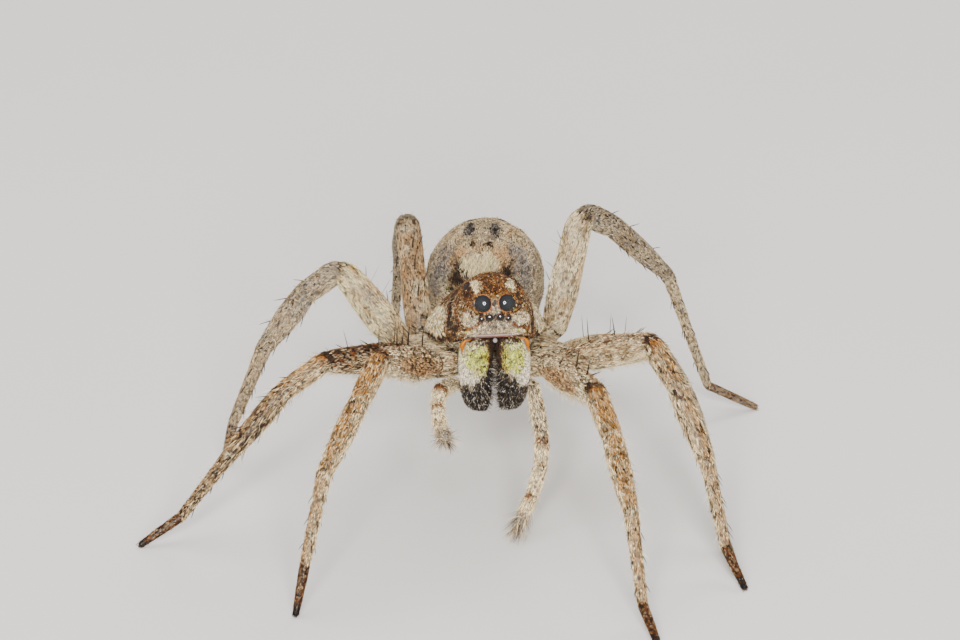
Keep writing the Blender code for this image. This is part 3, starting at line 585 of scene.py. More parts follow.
def leg_marks(side_name, pair, line, points, turns):
    """Marks of a leg from its segment, the share along it and the way a point faces."""
    rows = len(points)
    segment, share, run = (stretch(values, rows)[:, None]
                           for values in (line.segments, line.shares, line.arc))
    coxa, femur, patella, tibia, metatarsus, tarsus = (
        (segment == k) * 1.0 for k in range(COXA, TARSUS + 1))
    shin = tibia + metatarsus
    knee_and_tibia = patella + tibia
    rise = np.sin(turns) + 0.0 * share
    fore = SIDES[side_name] * np.cos(turns) + 0.0 * share
    seed = 10 * pair + (side_name == "left")
    blotch = wobble(points, 1.5, seed)
    fleck = wobble(points, 0.5, seed + 5)
    upper, under = smooth(-0.1, 0.8, rise), smooth(-0.3, -0.85, rise)
    crest = smooth(0.55, 0.9, rise + 0.1 * fleck)
    unrolled = np.stack(np.broadcast_arrays(0.30 * run, 0.8 * np.cos(turns), 0.8 * rise), axis=-1)
    dash = smooth(0.62, 0.92, wobble(unrolled, 0.26, seed + 7))
    marks = {name: np.zeros(points.shape[:2]) for name in MARKS}

    def add(name, *parts):
        """Adds parts to a mark, one after another."""
        for part in parts:
            marks[name] = marks[name] + part

    def line_at(joint, width, offset=0.0):
        """Band round the leg at a joint, or a little before or past it."""
        return bump_at(stretch(line.from_joint(joint), rows)[:, None], offset, width)

    if pair <= 2:
        brown = smooth(-0.9, 0.5, blotch)
        shaded = 0.20 * (side_name == "right") * (1.4 if pair == 2 else 0.7)
        dashes = (0.75 if pair == 2 else 0.30) * dash * (1.0 - 0.5 * under)
        front = smooth(-0.1, 0.3, fore)
        oval = femur * spot(share, rise, (0.42, -0.05), (0.38, 0.66), 0.10 * fleck) * front
        rim = femur * front * (1.0 - oval)
        if pair == 1:
            ridge = crest
            add("rust", oval * 0.10)
            add("dark", oval * 0.16 * spot(share, rise, (0.42, -0.05), (0.26, 0.30)))
            add("peach", oval * 0.40, patella * 0.20 * upper)
            add("grey", oval * 0.15)
            add("cream", -0.30 * oval, 0.30 * rim)
            add("orange", patella * (0.26 * ridge + 0.14 * upper), tibia * 0.10 * upper)
            add("bare", patella * 0.25)
        else:
            ridge = smooth(0.72, 0.94, rise + 0.1 * fleck) * 0.85
            add("grey", oval * 0.22 * spot(share, rise, (0.5, 0.0), (0.5, 0.25)))
            add("peach", oval * 0.12)
            add("orange", patella * 0.34 * ridge)
            add("dark", shin * 0.9 * shaded)
            add("cream", -shin * 0.9 * shaded)
        add("dark", coxa * 0.24,
            femur * (0.06 + 0.06 * brown + 0.16 * crest + shaded + 0.30 * dash * upper),
            femur * spot(share, rise, (0.95, 0.6), (0.022, 0.25), 0.4 * fleck) * 0.8,
            knee_and_tibia * (0.10 + 0.06 * brown + dashes), metatarsus * (0.06 + dashes),
            tarsus * (0.56 + 0.36 * smooth(0.65, 1.0, share)))
        add("rust", coxa * 0.18, femur * (0.05 + 0.08 * brown + 0.14 * crest + 0.6 * shaded),
            patella * (0.12 + 0.10 * upper), tibia * (0.08 + 0.10 * upper),
            metatarsus * (0.08 + 0.08 * upper), tarsus * 0.66)
        add("cream", coxa * 0.55, femur * (0.36 + 0.45 * under - 0.6 * shaded), shin * 0.30 * under,
            (patella * 0.34 + tibia * 0.46 + metatarsus * 0.48) * (1.0 - 0.6 * crest))
        add("peach", femur * 0.20, metatarsus * 0.25, knee_and_tibia * 0.16)
        # Grey down the side of tibia and metatarsus where fore is below -0.3 is painted shade.
        add("grey", femur * 0.14, rim * 0.20, shin * (0.08 + 0.34 * smooth(-0.3, -0.8, fore)))
        add("orange", (tibia * 0.26 + metatarsus * 0.14) * ridge)
        add("bare", femur * (0.55 - 0.3 * crest))
        add("black", tarsus * 0.6 * smooth(0.72, 0.9, share))
    else:
        pale = smooth(-0.5, 0.5, blotch)
        warm = smooth(0.15, 0.7, wobble(points, 1.1, seed + 9) + 0.4 * fleck)
        streak = smooth(0.25, 0.8, wobble(points * np.array([1.0, 1.0, 0.35]), 0.9, seed + 3))
        patch = femur * smooth(0.7, 1.1, blotch + 0.2 * fleck) * (pair == 3) * smooth(-0.5, 0.0, rise)
        rings = bump_at(share, 0.18, 0.10) + bump_at(share, 0.86, 0.10)
        if side_name == "right" and pair == 4:
            add("rust", femur * (0.08 + 0.10 * warm))
            add("peach", femur * 0.50)
            add("dark", femur * 0.15)
            add("grey", femur * (0.30 + 0.25 * smooth(0.55, 0.9, share)))
            add("cream", -femur * 0.25)
        add("peach", 0.7 * patch, femur * 0.75 * warm * (1.0 - 0.3 * pale), metatarsus * 0.22,
            tibia * 0.16 * warm)
        add("rust", 0.25 * patch, femur * 0.30 * smooth(0.9, 1.4, fleck) * upper, coxa * 0.15, tarsus * 0.30)
        add("cream", coxa * 0.55, femur * (0.30 + 0.50 * pale) * (1.0 - 0.8 * patch), patella * 0.25,
            tibia * (0.14 + 0.20 * pale), metatarsus * (0.24 + 0.20 * (pair == 4)))
        add("yellow", femur * 0.12 * pale * (pair == 3))
        add("grey", femur * 0.55 * streak, knee_and_tibia * (0.45 + 0.35 * streak), metatarsus * 0.45,
            tarsus * 0.40)
        add("dark", femur * 0.05, tibia * (0.06 + 0.30 * rings * smooth(-0.8, 0.5, fleck)),
            patella * 0.24 * upper, tarsus * 0.22, knee_and_tibia * 0.10 * (pair == 4),
            femur * 0.5 * spot(share, rise, (0.95, 0.4), (0.03, 0.3), 0.4 * fleck))
    add("cream", line_at(2, 0.40, 0.05) * smooth(-0.1, -0.6, rise))
    add("rust", line_at(2, 0.30) * smooth(-0.2, 0.5, rise) * (0.45 if pair <= 2 else 0.10))
    add("dark", line_at(2, 0.10, -0.10) * smooth(-0.2, 0.3, rise) * 0.8)
    for joint in (3, 4):
        fade(marks, ("dark", "grey", "rust", "orange"), 0.9 * line_at(joint, 0.05))
        add("cream", line_at(joint, 0.05) * 0.9)
        add("dark", line_at(joint, 0.05, -0.10) * 0.5)
    membrane = line_at(2, 0.34, 0.05) * smooth(-0.15, -0.6, rise)
    add("dark", line_at(1, 0.10) * 0.7)
    add("bare", membrane, tarsus * 0.6, coxa * 0.4)
    marks["density"] = 1.0 - 0.9 * smooth(0.3, 0.8, membrane)
    for joint in (3, 4, 5):
        fade(marks, ("density",), 0.7 * line_at(joint, 0.05))
    marks["length"] = np.select([segment == TARSUS, segment == METATARSUS], [0.5, 0.85], 1.0)
    marks["lift"] = np.where(segment == TARSUS, 0.6, 1.0)
    marks["fringe"] = femur * under * smooth(0.05, 0.2, share) + knee_and_tibia * 0.22 + metatarsus * 0.10
    return marks


def palp_surface(side_name, depth):
    """Palp skin: round rings from its hip to the rounded tip, drawn in at the joints."""
    line = palp_line(side_name)
    root, femur, knee, tibia, tarsus, tip = PALP_THICKNESS
    depths = limb_depths(line, [
        ((0.0, 1.0), (root * 0.9, root)),
        ((0.0, 0.5, 1.0), (root, femur, knee)),
        ((0.0, 0.5, 1.0), (knee, knee, knee * 0.92)),
        ((0.0, 0.5, 1.0), (knee * 0.92, tibia, tarsus)),
        ((0.0, 0.5, 1.0), (tarsus, tarsus, tip)),
    ])
    for joint in (2, 3, 4):
        depths = depths * (1.0 - 0.09 * bump_at(line.from_joint(joint), 0.0, 0.09))
    columns = 26
    points = limb_points(line, depths, depths, columns, depth)
    turns = turns_of(columns)[None, :]
    rows = len(points)
    share = stretch(line.shares, rows)[:, None]
    segment = stretch(line.segments, rows)[:, None]
    rise = np.sin(turns) + 0.0 * share
    blotch = wobble(points, 0.8, 60 + (side_name == "left"))
    joints = sum(bump_at(stretch(line.from_joint(k), rows)[:, None], 0.05, 0.20) for k in (2, 3, 4))
    patch = joints * smooth(0.0, 0.7, rise + 0.7 * blotch)
    brush = (segment == 4) * smooth(0.35, 0.8, share)
    fields = {
        "cream": 0.72 + 0.12 * smooth(-0.5, 0.8, blotch) - 0.60 * patch - 0.50 * brush,
        "rust": 0.04 + 0.70 * patch + 0.35 * smooth(0.8, 1.2, blotch),
        "dark": 0.06 + 0.10 * brush + 0.26 * patch + 0.30 * (segment == 1) * smooth(0.0, 0.8, rise)
                + 0.25 * smooth(0.9, 1.3, blotch),
        "grey": 0.08 + 0.85 * (segment == 4) * smooth(0.25, 0.8, share),
        "peach": 0.10,
        "length": np.where(segment == 4, 1.15, 0.9),
        "tip": brush,
    }
    surface = Surface(points, fields)
    surface.line = line
    return surface


# ---- head and thorax ----
def eye_seats(side_name):
    """Middle, gaze and radius of each eye of a side, from the solid's box and the head's middle."""
    middle = turn_head(HEAD_MIDDLE)
    seats = {}
    for kind, (_, _, _, radius) in EYES.items():
        low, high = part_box("eye_%s_%s" % (kind, side_name))
        found = np.array((low + high) / 2.0) / MM - SHIFT
        gaze = unit(found - middle)
        if kind == "posterior_lateral":
            gaze = unit(gaze + SIDE_EYE_LEAN)
        sink = SIDE_EYE_SINK if kind == "posterior_lateral" else 0.0
        seats[kind] = (found - gaze * (radius * EYE_HEIGHT / 2.0 + sink), gaze, radius)
    return seats


def eye_distances(points):
    """Kind and radius of each eye, with every point's distance from its seat before the head turns."""
    for side_name in SIDES:
        for kind, (seat, _, radius) in eye_seats(side_name).items():
            yield kind, radius, np.linalg.norm(points - turn_about(seat, -HEAD_TURN, HEAD_PIVOT), axis=-1)


def carapace_rings(y, turns):
    """Sections of the dome: x = half sign(cos) |cos|^square and z = margin + (ridge - margin) |sin|^square.

    The underside runs from the margin to the roof over the jaws, or to the belly behind them.
    """
    half, margin, ridge, square = (
        curve_through(CARAPACE_Y, values, y)[:, None]
        for values in (CARAPACE_HALF_WIDTH, CARAPACE_MARGIN, CARAPACE_RIDGE, CARAPACE_SQUARE))
    drop = smooth(BELLY_START, BELLY_START + BELLY_DROP, y)[:, None]
    middle = JAW_ROOF + (BELLY_LEVEL - JAW_ROOF) * drop
    rim = margin - MARGIN_THICKNESS
    middle = np.where(y[:, None] > BELLY_START + BELLY_DROP, np.minimum(middle, rim - BELLY_BULGE), middle)
    across, rise = np.cos(turns)[None], np.sin(turns)[None]
    x = half * np.sign(across) * np.abs(across) ** square
    dome = margin + (ridge - margin) * np.abs(rise) ** square
    under = rim + (middle - rim) * np.sqrt(np.abs(rise))
    z = np.where(rise >= -1e-9, dome, under)
    return np.stack([x, np.broadcast_to(y[:, None], x.shape), z], axis=-1)


def carapace_surface(depth):
    """Dome with a rounded face, raised seats for the eyes and grooves on the thorax."""
    y = CARAPACE_Y[-1] * np.linspace(0.0, 1.0, 108) ** 1.25
    rings = carapace_rings(y, turns_of(150))
    front = cap_rows(rings[0], 14, (0.0, -FACE_BULGE, 0.0))[::-1]
    rear = cap_rows(rings[-1], 6, (0.0, 0.03, 0.0))
    points = np.concatenate([front, rings, rear])
    base = Surface(points, {}, depth=depth)
    push = np.zeros(points.shape[:2])
    x, y, z = np.moveaxis(points, -1, 0)
    above = z > curve_through(CARAPACE_Y, CARAPACE_MARGIN, np.clip(y, 0.0, CARAPACE_Y[-1])) + 0.3
    for kind, radius, away in eye_distances(points):
        push += SEAT_HEIGHT[kind] * bump_at(away, radius * 1.05, radius * 0.42)
    start, end = FOVEA
    push -= 0.14 * bump_at(x, 0.0, 0.10) * smooth(start, start + 0.4, y) * smooth(end, end - 0.4, y)
    spoke = np.arctan2(np.abs(x), (start + end) / 2.0 - y)
    far = np.hypot(x, y - (start + end) / 2.0)
    for angle in (0.62, 1.25, 1.85, 2.45):
        push -= 0.07 * bump_at(spoke, angle, 0.09) * smooth(0.5, 1.2, far) * smooth(3.2, 2.2, far)
    folded = np.stack([np.abs(x), y, z], axis=-1)
    push += 0.12 * bump_at(near_path(folded, BROW_PATH), 0.0, 0.15)
    push = push * above + 0.012 * wobble(points, 0.45, 3) * above
    points = base.points + base.normals * push[..., None]
    turned = turn_head(points)
    return Surface(turned, carapace_marks(points), lie=carapace_lie(points))


def carapace_lie(points):
    """Hairs point forwards on the crown, down on the face and away from the groove on the thorax."""
    x, y, _ = np.moveaxis(points, -1, 0)
    zero = np.zeros_like(x)
    forward = np.stack([0.15 * x, -1.0 + zero, -0.2 + zero], axis=-1)
    down = np.stack([0.25 * x, -0.2 + zero, -1.0 + zero], axis=-1)
    away = np.stack([x, y - 6.0, -0.4 * np.abs(x)], axis=-1)
    face = smooth(0.5, 0.0, y)[..., None]
    head = smooth(4.6, 2.8, y)[..., None]
    lie = unit(away) * (1.0 - head) + unit(forward) * head
    return unit(lie * (1.0 - face) + unit(down) * face)


def carapace_marks(points):
    """Rusty crown, pale face and cheeks, dark stripes beside the head, a cream band round the thorax and a
    painted shadow line along the margin.
    """
    x, y, z = np.moveaxis(points, -1, 0)
    side = np.abs(x)
    folded = np.stack([side, y, z], axis=-1)
    at = np.clip(y, 0.0, CARAPACE_Y[-1])
    margin = curve_through(CARAPACE_Y, CARAPACE_MARGIN, at)
    ridge = curve_through(CARAPACE_Y, CARAPACE_RIDGE, at)
    height = (z - margin) / (ridge - margin)
    blotch = wobble(points, 1.3, 21)
    fleck = wobble(points, 0.42, 22)
    fray = 0.10 * fleck
    head = smooth(3.6, 2.4, y)
    front = smooth(0.85, 0.2, y)
    thorax = 1.0 - head
    cheek = spot(side, z, (1.66, 12.92), (0.40, 0.44), 0.22 * fleck) * smooth(1.6, 1.0, y)
    beside_eyes = spot(side, z, (1.06, 13.03), (0.15, 0.22), 0.1 * fleck) * front
    wedge_side = np.interp(z, (12.9, 13.3, 13.6, 13.98), (0.90, 0.46, 0.24, 0.0))
    wedge = smooth(0.06, -0.06, side - wedge_side + 0.1 * fray)
    between = wedge * smooth(12.7, 12.9, z) * smooth(14.0, 13.9, z) * front
    clypeus = smooth(13.0, 12.8, z + 0.3 * fray) * smooth(1.55, 1.25, side - 0.3 * (12.9 - z)) * front
    brow = spot(side, y, (1.00, 1.20), (0.27, 0.54), 0.18 * fleck) * smooth(13.9, 14.2, z)
    slit = stroke(folded, SLIT_PATH, 0.26)
    flank = stroke(folded, FLANK_PATH, 0.58, 0.10 * fleck)
    flank = flank + stroke(folded, FLANK_FOOT, 0.42, 0.10 * fleck)
    flank = np.clip(flank + stroke(points, FLANK_LINE, 0.16, 0.1 * fleck), 0.0, 1.0)
    crescent = stroke(folded, CRESCENT_PATH, 0.17, 0.08 * fleck)
    streak = stroke(folded, STREAK_PATH, 0.17, 0.2 * fleck)
    low_stripe = stroke(folded, LOW_STRIPE_PATH, 0.22, 0.1 * fleck)
    ledge = smooth(12.06, 11.98, z) * smooth(1.75, 1.55, side) * front
    upper = np.interp(y, BAND_Y, BAND_HEIGHT)
    band = smooth(0.03, -0.03, height - upper + 0.3 * fray) * smooth(0.03, 0.05, height)
    band = band * smooth(1.3, 1.7, y)
    # Painted shadow: rim is a thin dark line along the margin, where the shield's edge would throw its
    # shadow. It goes into dark and takes out the pale marks.
    rim = smooth(0.045, 0.025, height) * smooth(-0.08, -0.04, height) * smooth(1.2, 1.9, y)
    middle = thorax * smooth(0.75, 0.45, side + 0.08 * fleck) * smooth(0.5, 0.7, height)
    pale = np.clip(cheek + beside_eyes + clypeus + between + brow, 0.0, 1.0)
    under = smooth(0.0, -0.04, height) * smooth(1.0, 1.5, y)
    crown = (1.0 - pale) * (head + thorax * (1.0 - band)) * (1.0 - under)
    top = smooth(13.9, 14.5, z) * head
    marks = {
        "rust": crown * (0.62 + 0.16 * top + 0.12 * smooth(-0.6, 0.8, blotch)) + 0.9 * streak + 0.16 * cheek,
        "orange": crown * head * (0.24 + 0.06 * top) + 0.15 * streak,
        "cream": 0.80 * cheek + 0.95 * beside_eyes + 0.90 * brow + 0.44 * clypeus + 0.42 * between
                 + 0.80 * band + 0.35 * middle + (0.30 - 0.10 * top) * crown + crescent + low_stripe
                 + 0.4 * under,
        "grey": 0.62 * clypeus + 0.50 * between + 0.5 * under,
        "peach": 0.08 * clypeus + 0.12 * between + 0.45 * ledge,
        "yellow": 0.22 * band + 0.16 * cheek + 0.22 * brow + 0.10 * crown + 0.35 * low_stripe
                  + 0.3 * crescent,
        "dark": crown * (0.50 + 0.03 * thorax + 0.26 * smooth(0.2, 0.9, fleck)) + 0.16 * cheek
                + 0.06 * (clypeus + brow) + 1.1 * flank + slit + rim,
    }
    fade(marks, ("cream", "grey", "peach", "yellow"), np.clip(flank + slit + rim, 0.0, 1.0))
    fade(marks, ("cream", "grey", "peach"), 0.9 * np.clip(streak + 0.5 * ledge, 0.0, 1.0))
    stripes = crescent + low_stripe
    fade(marks, ("rust",), np.clip(0.9 * stripes + 0.85 * flank, 0.0, 1.0))
    fade(marks, ("orange",), np.clip(stripes + flank, 0.0, 1.0))
    fade(marks, ("dark",), np.clip(stripes, 0.0, 1.0))
    fade(marks, ("dark", "rust"), 0.8 * ledge)
    marks["black"] = 0.30 * flank
    marks["bare"] = 0.7 * ledge
    ring, gold, clear = np.zeros_like(x), np.zeros_like(x), np.ones_like(x)
    broken = smooth(-0.6, 0.4, wobble(points, 0.30, 24))
    for kind, radius, away in eye_distances(points):
        clear = clear * smooth(radius * 1.02, radius * 1.18, away)
        if kind == "posterior_median":
            ring = np.maximum(ring, bump_at(away, radius * 1.22, 0.09) * broken)
        elif kind.startswith("anterior"):
            gold = np.maximum(gold, bump_at(away, radius * 1.15, 0.06))
    for name, share in (("dark", 0.7), ("cream", 0.5), ("rust", 0.6)):
        fade(marks, (name,), share * ring)
    fade(marks, ("cream",), 0.8 * gold)
    for name, added in (("orange", 0.60 * ring), ("yellow", 0.40 * ring), ("dark", 0.6 * gold),
                        ("rust", 0.3 * gold)):
        marks[name] = marks[name] + added
    below = smooth(0.0, -0.04, height)
    marks["density"] = clear * (1.0 - 0.85 * below) * (0.70 + 1.30 * head) * (1.0 - 0.8 * ledge)
    marks["length"] = 0.80 + 0.60 * thorax - 0.15 * front - 0.5 * smooth(0.10, 0.0, height) * thorax
    marks["lift"] = 0.9 + 0.3 * thorax
    return marks


def jaw_surface(side_name, depth):
    """Jaw: ovals down its length, each half width beside the cut between the two jaws."""
    side = SIDES[side_name]
    share = np.linspace(0.0, 1.0, 72)
    half_width, half_depth, forward = (
        curve_through(JAW_SHARE, values, share) for values in (JAW_HALF_WIDTH, JAW_HALF_DEPTH, JAW_FORWARD))
    inner = CUT / 2.0 + JAW_SPREAD * share ** 3
    centres = np.stack([side * (inner + half_width), forward, JAW_TOP - JAW_LENGTH * share], axis=-1)
    turns = turns_of(54)
    rings = oval_rings(centres, ACROSS, BACKWARDS, half_width, half_depth, turns)
    top = cap_rows(rings[0], 5, (0.0, 0.0, 0.12))[::-1]
    bottom = cap_rows(rings[-1], 4, (0.0, 0.0, -0.05))
    points = np.concatenate([top, rings, bottom])
    down = np.concatenate([np.zeros(len(top)), share, np.ones(len(bottom))])[:, None]
    outward = side * np.cos(turns)[None] + 0.0 * down
    fore = -np.sin(turns)[None] + 0.0 * down
    fleck = wobble(points, 0.40, 31)
    spread = np.clip(outward, -1.0, 1.0)
    border = np.interp(spread, JAW_BORDER_AT, JAW_BORDER)
    low = smooth(border - 0.06, border + 0.06, down + 0.05 * fleck)
    upper = 1.0 - low
    # Inside is the jaw's inner face by the gap between the jaws. Its dark, rust and black are partly the
    # jaw's own dark colour and partly painted shade of that gap.
    inside = smooth(-0.55, -0.90, outward)
    gold = smooth(-0.25, -0.70, outward + 0.15 * fleck)
    heart = spot(outward, down, (-0.15, 0.24), (0.70, 0.17), 0.22 * fleck)
    seam = smooth(0.68, 0.76, outward) * smooth(0.95, 0.90, outward)
    seam = seam * smooth(0.20, 0.16, down) * smooth(0.0, 0.2, fore)
    specks = smooth(0.35, 0.75, wobble(points, 0.24, 33)) * smooth(0.46, 0.16, down + 0.25 * outward)
    brow = smooth(0.06, 0.02, down)
    marks = {
        "cream": upper * (0.95 - 0.45 * heart - 0.35 * gold) + 0.08 * low + seam,
        "yellow": upper * (1.0 - inside)
                  * (0.06 + 0.54 * heart + 0.20 * gold + 0.34 * smooth(0.42, 0.10, down)),
        "orange": (0.34 * gold + 0.38 * specks + 0.10 * smooth(0.36, 0.08, down)) * upper,
        "rust": upper * (0.04 + 0.30 * gold + 0.30 * inside + 0.35 * brow),
        "dark": upper * (0.05 + 0.25 * gold + 0.80 * inside + 0.60 * specks + 0.5 * brow) + 0.70 * low,
        "black": 0.88 * low + 0.25 * inside,
        "grey": 0.12 * low,
        "bare": 0.6 * seam,
        "density": 1.0 - 0.9 * seam,
        "length": 0.70 + 0.25 * low,
        "lift": 0.9 + 1.1 * low,
    }
    fade(marks, ("yellow", "rust", "dark", "grey", "black", "orange"), seam)
    lie = np.zeros_like(points)
    lie[..., 0] = -0.30 * side * low + 0.1 * side * upper
    lie[..., 2] = -1.0
    marks["inside"] = inside * low * smooth(0.98, 0.90, down)
    marks["low"] = low
    return Surface(turn_head(points), marks, lie=lie, depth=depth)


def sternum_surface(depth):
    """Breast plate: an oval that narrows as the square root of one minus the fourth power of depth."""
    t = np.linspace(0.0, 0.99, 26)
    size = np.sqrt(1.0 - t ** 4)
    height = STERNUM_TOP + (STERNUM_BOTTOM - STERNUM_TOP) * t
    middle = np.stack([0.0 * t, STERNUM_MIDDLE + 0.0 * t, height], axis=-1)
    half_width, half_length = STERNUM_HALF_WIDTH * size, STERNUM_HALF_LENGTH * size
    points = oval_rings(middle, ACROSS, BACKWARDS, half_width, half_length, turns_of(48))
    blotch = wobble(points, 0.9, 41)
    lie = np.zeros_like(points)
    lie[..., 1] = 1.0
    fields = {"dark": 0.45 + 0.15 * blotch, "grey": 0.35, "cream": 0.18, "rust": 0.2, "length": 0.8}
    return Surface(turn_head(points), fields, lie=lie, depth=depth)


def side_membrane_surface():
    """Soft sides of the thorax between its shield and the hips: a flat ellipsoid."""
    polar = np.linspace(0.06, pi - 0.06, 30)
    centres = np.array([0.0, 4.75, 9.38]) + 0.42 * np.cos(polar)[:, None] * UP
    size = np.sin(polar) ** 0.6
    points = oval_rings(centres, ACROSS, BACKWARDS, 2.7 * size, 3.7 * size, turns_of(64))
    points = turn_head(points)
    fields = {"dark": 0.30, "grey": 0.45, "cream": 0.30, "density": 0.5}
    return Surface(points, fields, lie=unit(points - points.mean(axis=(0, 1))))


# ---- abdomen ----
def abdomen_place(local):
    """From the abdomen's own axes, across, along and up, to the model's."""
    return turn_about(local + ABDOMEN_START, -ABDOMEN_SWING, ABDOMEN_START)


def abdomen_surface(depth):
    """Egg: half width and height times sin(t)^0.88 (1 - 0.07 cos t) at y = length (1 - cos t) / 2,
    on a short stalk, with pairs of shallow dimples along the back."""
    t = np.radians(np.linspace(8.0, 176.5, 94))
    full = np.sin(t) ** 0.88 * (1.0 - 0.07 * np.cos(t))
    y = np.concatenate([np.linspace(-PEDICEL_LENGTH, -0.02, 8), ABDOMEN_LENGTH * (0.5 - 0.5 * np.cos(t))])
    width = np.concatenate([np.full(8, PEDICEL_RADIUS), ABDOMEN_HALF_WIDTH * full])
    height = np.concatenate([np.full(8, PEDICEL_RADIUS), ABDOMEN_HALF_HEIGHT * full])
    local = oval_rings(y[:, None] * BACKWARDS, ACROSS, UP, width, height, turns_of(112))
    base = Surface(local, {}, depth=depth)
    x, y, z = np.moveaxis(local, -1, 0)
    push = 0.03 * wobble(local, 1.1, 51)
    for back in (3.5, 5.2, 6.6):
        push -= 0.10 * spot(np.abs(x), y, (0.62, back), (0.22, 0.22)) * (z > 0.0)
    push = push * smooth(0.0, 0.8, y)
    local = base.points + base.normals * push[..., None]
    return Surface(abdomen_place(local), abdomen_marks(local))


def inside_of(x, y, corners, soft, fray):
    """1 inside a shape whose corners run anticlockwise, 0 outside, with a soft frayed edge."""
    inside = np.ones_like(x)
    for (ax, ay), (bx, by) in zip(corners, corners[1:] + corners[:1]):
        over = ((bx - ax) * (y - ay) - (by - ay) * (x - ax)) / np.hypot(bx - ax, by - ay)
        inside = np.minimum(inside, smooth(-soft, soft, over + fray))
    return inside


def abdomen_marks(points):
    """Sandy grey: painted shadow in dark hollows beside a cream front, slate spots down the back and warm
    blotches.
    """
    x, y, z = np.moveaxis(points, -1, 0)
    across = x + 0.11
    side = np.abs(across)
    fleck = wobble(points, 0.5, 52)
    blotch = wobble(points, 1.3, 53)
    back = smooth(-0.4, 1.0, z)
    below = smooth(-0.8, -2.0, z)
    fray = 0.22 * fleck
    # Painted shadow: dark, rust and black patches beside the cream front stand for the shade in the hollows
    # behind the carapace.
    hollow_shadow = [inside_of(x, y, corners, 0.24, 0.08 * fleck) for corners in HOLLOW_SHADOWS]
    hollow_shadow = np.maximum(*hollow_shadow) * smooth(0.6, 1.3, z)
    lump = spot(side, z, (2.15, 1.30), (0.36, 0.48), fray) * smooth(2.6, 2.1, y) * (z > 0.0)
    spots = spot(side, y, (0.82, 5.25), (0.34, 1.05), 0.45 * fray) * back
    bar = spot(side, y, (0.45, 6.1), (0.6, 0.35), fray) * back
    small = spot(side, y, (0.54, 3.46), (0.24, 0.28), 0.5 * fray) * back
    wedge = smooth(0.10, -0.04, side - (y - 2.25) * 0.48) * smooth(3.5, 3.2, y) * smooth(2.15, 2.3, y) * back
    for middle, radii in REAR_SPOTS:
        spots = spots + spot(side, y - 0.35 * side, middle, radii, fray) * back
    spots = np.clip(spots, 0.0, 1.0)
    heart = smooth(0.80, 0.55, side + 0.1 * fleck) * smooth(3.0, 3.4, y) * smooth(6.6, 6.0, y) * back
    wave = np.cos((y - 0.35 * side - 6.6) * 2.0 * pi / 0.95)
    bars = smooth(0.55, 0.95, wave) * smooth(6.2, 6.8, y) * smooth(1.5, 1.0, side) * back
    tuft = smooth(1.15, 0.70, side + 0.22 * fleck) * smooth(3.0, 2.2, y + 0.25 * fleck)
    tuft = tuft * (1.0 - wedge) * back * (1.0 - hollow_shadow)
    peach = spot(side, y, (1.34, 2.75), (0.56, 0.62), fray) * smooth(1.7, 2.1, z)
    warm = smooth(0.2, 0.9, blotch + 0.4 * fleck) * spot(side, y, (1.45, 3.6), (1.0, 2.4)) * back
    shoulder = spot(side, y, (2.35, 2.9), (0.75, 1.6), fray) * smooth(0.2, 0.9, z)
    outside = spot(side, y, (1.25, 5.4), (0.24, 0.75), fray) * back
    dots = spot(side, y, (1.32, 2.68), (0.10, 0.10)) + spot(side, y, (0.60, 2.35), (0.08, 0.08))
    dots = dots + spot(side, y, (1.20, 2.30), (0.09, 0.09)) + smooth(1.3, 1.5, fleck)
    dots = np.clip(dots, 0.0, 1.0) * back
    plain = 1.0 - np.clip(hollow_shadow + spots + small, 0.0, 1.0)
    marks = {
        "grey": (0.22 + 0.30 * smooth(1.8, 3.2, side) + 0.30 * heart + 0.70 * shoulder) * plain
                + 0.15 * bars + spots,
        "cream": (0.30 + 0.20 * smooth(0.2, 1.0, -blotch) + 0.47 * tuft + 0.55 * outside + 0.7 * lump
                  + 0.12 * below)
                 * plain * (1.0 - 0.8 * shoulder) * (1.0 - 0.7 * wedge) * (1.0 - 0.7 * peach),
        "peach": (0.24 + 0.85 * peach + 0.34 * tuft + 0.55 * warm + 0.12 * smooth(0.3, 1.2, blotch))
                 * plain * (1.0 - 0.5 * shoulder),
        "yellow": 0.10 * tuft + 0.12 * lump,
        "dark": 0.05 + 0.85 * hollow_shadow + 0.35 * spots + 0.95 * small + 0.50 * dots + 0.12 * bars
                + 0.05 * below + 0.20 * bar + 0.12 * wedge,
        "black": 0.60 * spots + 0.30 * small + 0.35 * hollow_shadow,
        "rust": 0.05 + 0.25 * dots + 0.10 * wedge + 0.35 * hollow_shadow,
        "length": 0.95 + 0.25 * smooth(1.5, 0.3, y),
        "lift": 1.0 - 0.4 * hollow_shadow,
        "density": smooth(-0.2, 0.3, y) * (1.0 - 0.2 * below),
    }
    marks["tuft"] = tuft * smooth(0.5, 1.2, y) * (1.0 - hollow_shadow)
    return marks


def spinneret_surfaces(depth):
    """Six short fingers in two rows behind the abdomen, each a tapering round rod with a domed end."""
    turn = radians(ABDOMEN_SWING)
    way = unit(np.array([sin(turn), cos(turn), -0.25]))
    flat = unit(np.cross(way, UP))
    rise = np.cross(flat, way)
    root = abdomen_place(np.array([0.0, ABDOMEN_LENGTH + 0.10, -0.55]))
    fingers = []
    for across, up, length, radius in FINGERS:
        t = np.linspace(-0.35, 1.0, 22)
        size = radius * (1.05 - 0.35 * np.clip(t, 0.0, 1.0)) * np.sqrt(1.0 - np.clip(t, 0.0, 0.995) ** 6)
        lean = way + 0.10 * flat * np.sign(across)
        centres = root + across * flat + up * rise + t[:, None] * SPINNERET_LENGTH * length * 0.97 * lean
        points = oval_rings(centres, flat, rise, size, size, turns_of(20))
        ring = bump_at(t, 0.55, 0.04)[:, None]
        fields = {"cream": 0.45 - 0.3 * ring, "grey": 0.30, "rust": 0.22, "dark": 0.14 + 0.5 * ring,
                  "length": 0.6}
        fingers.append(Surface(points, fields, depth=depth * 0.5))
    return fingers


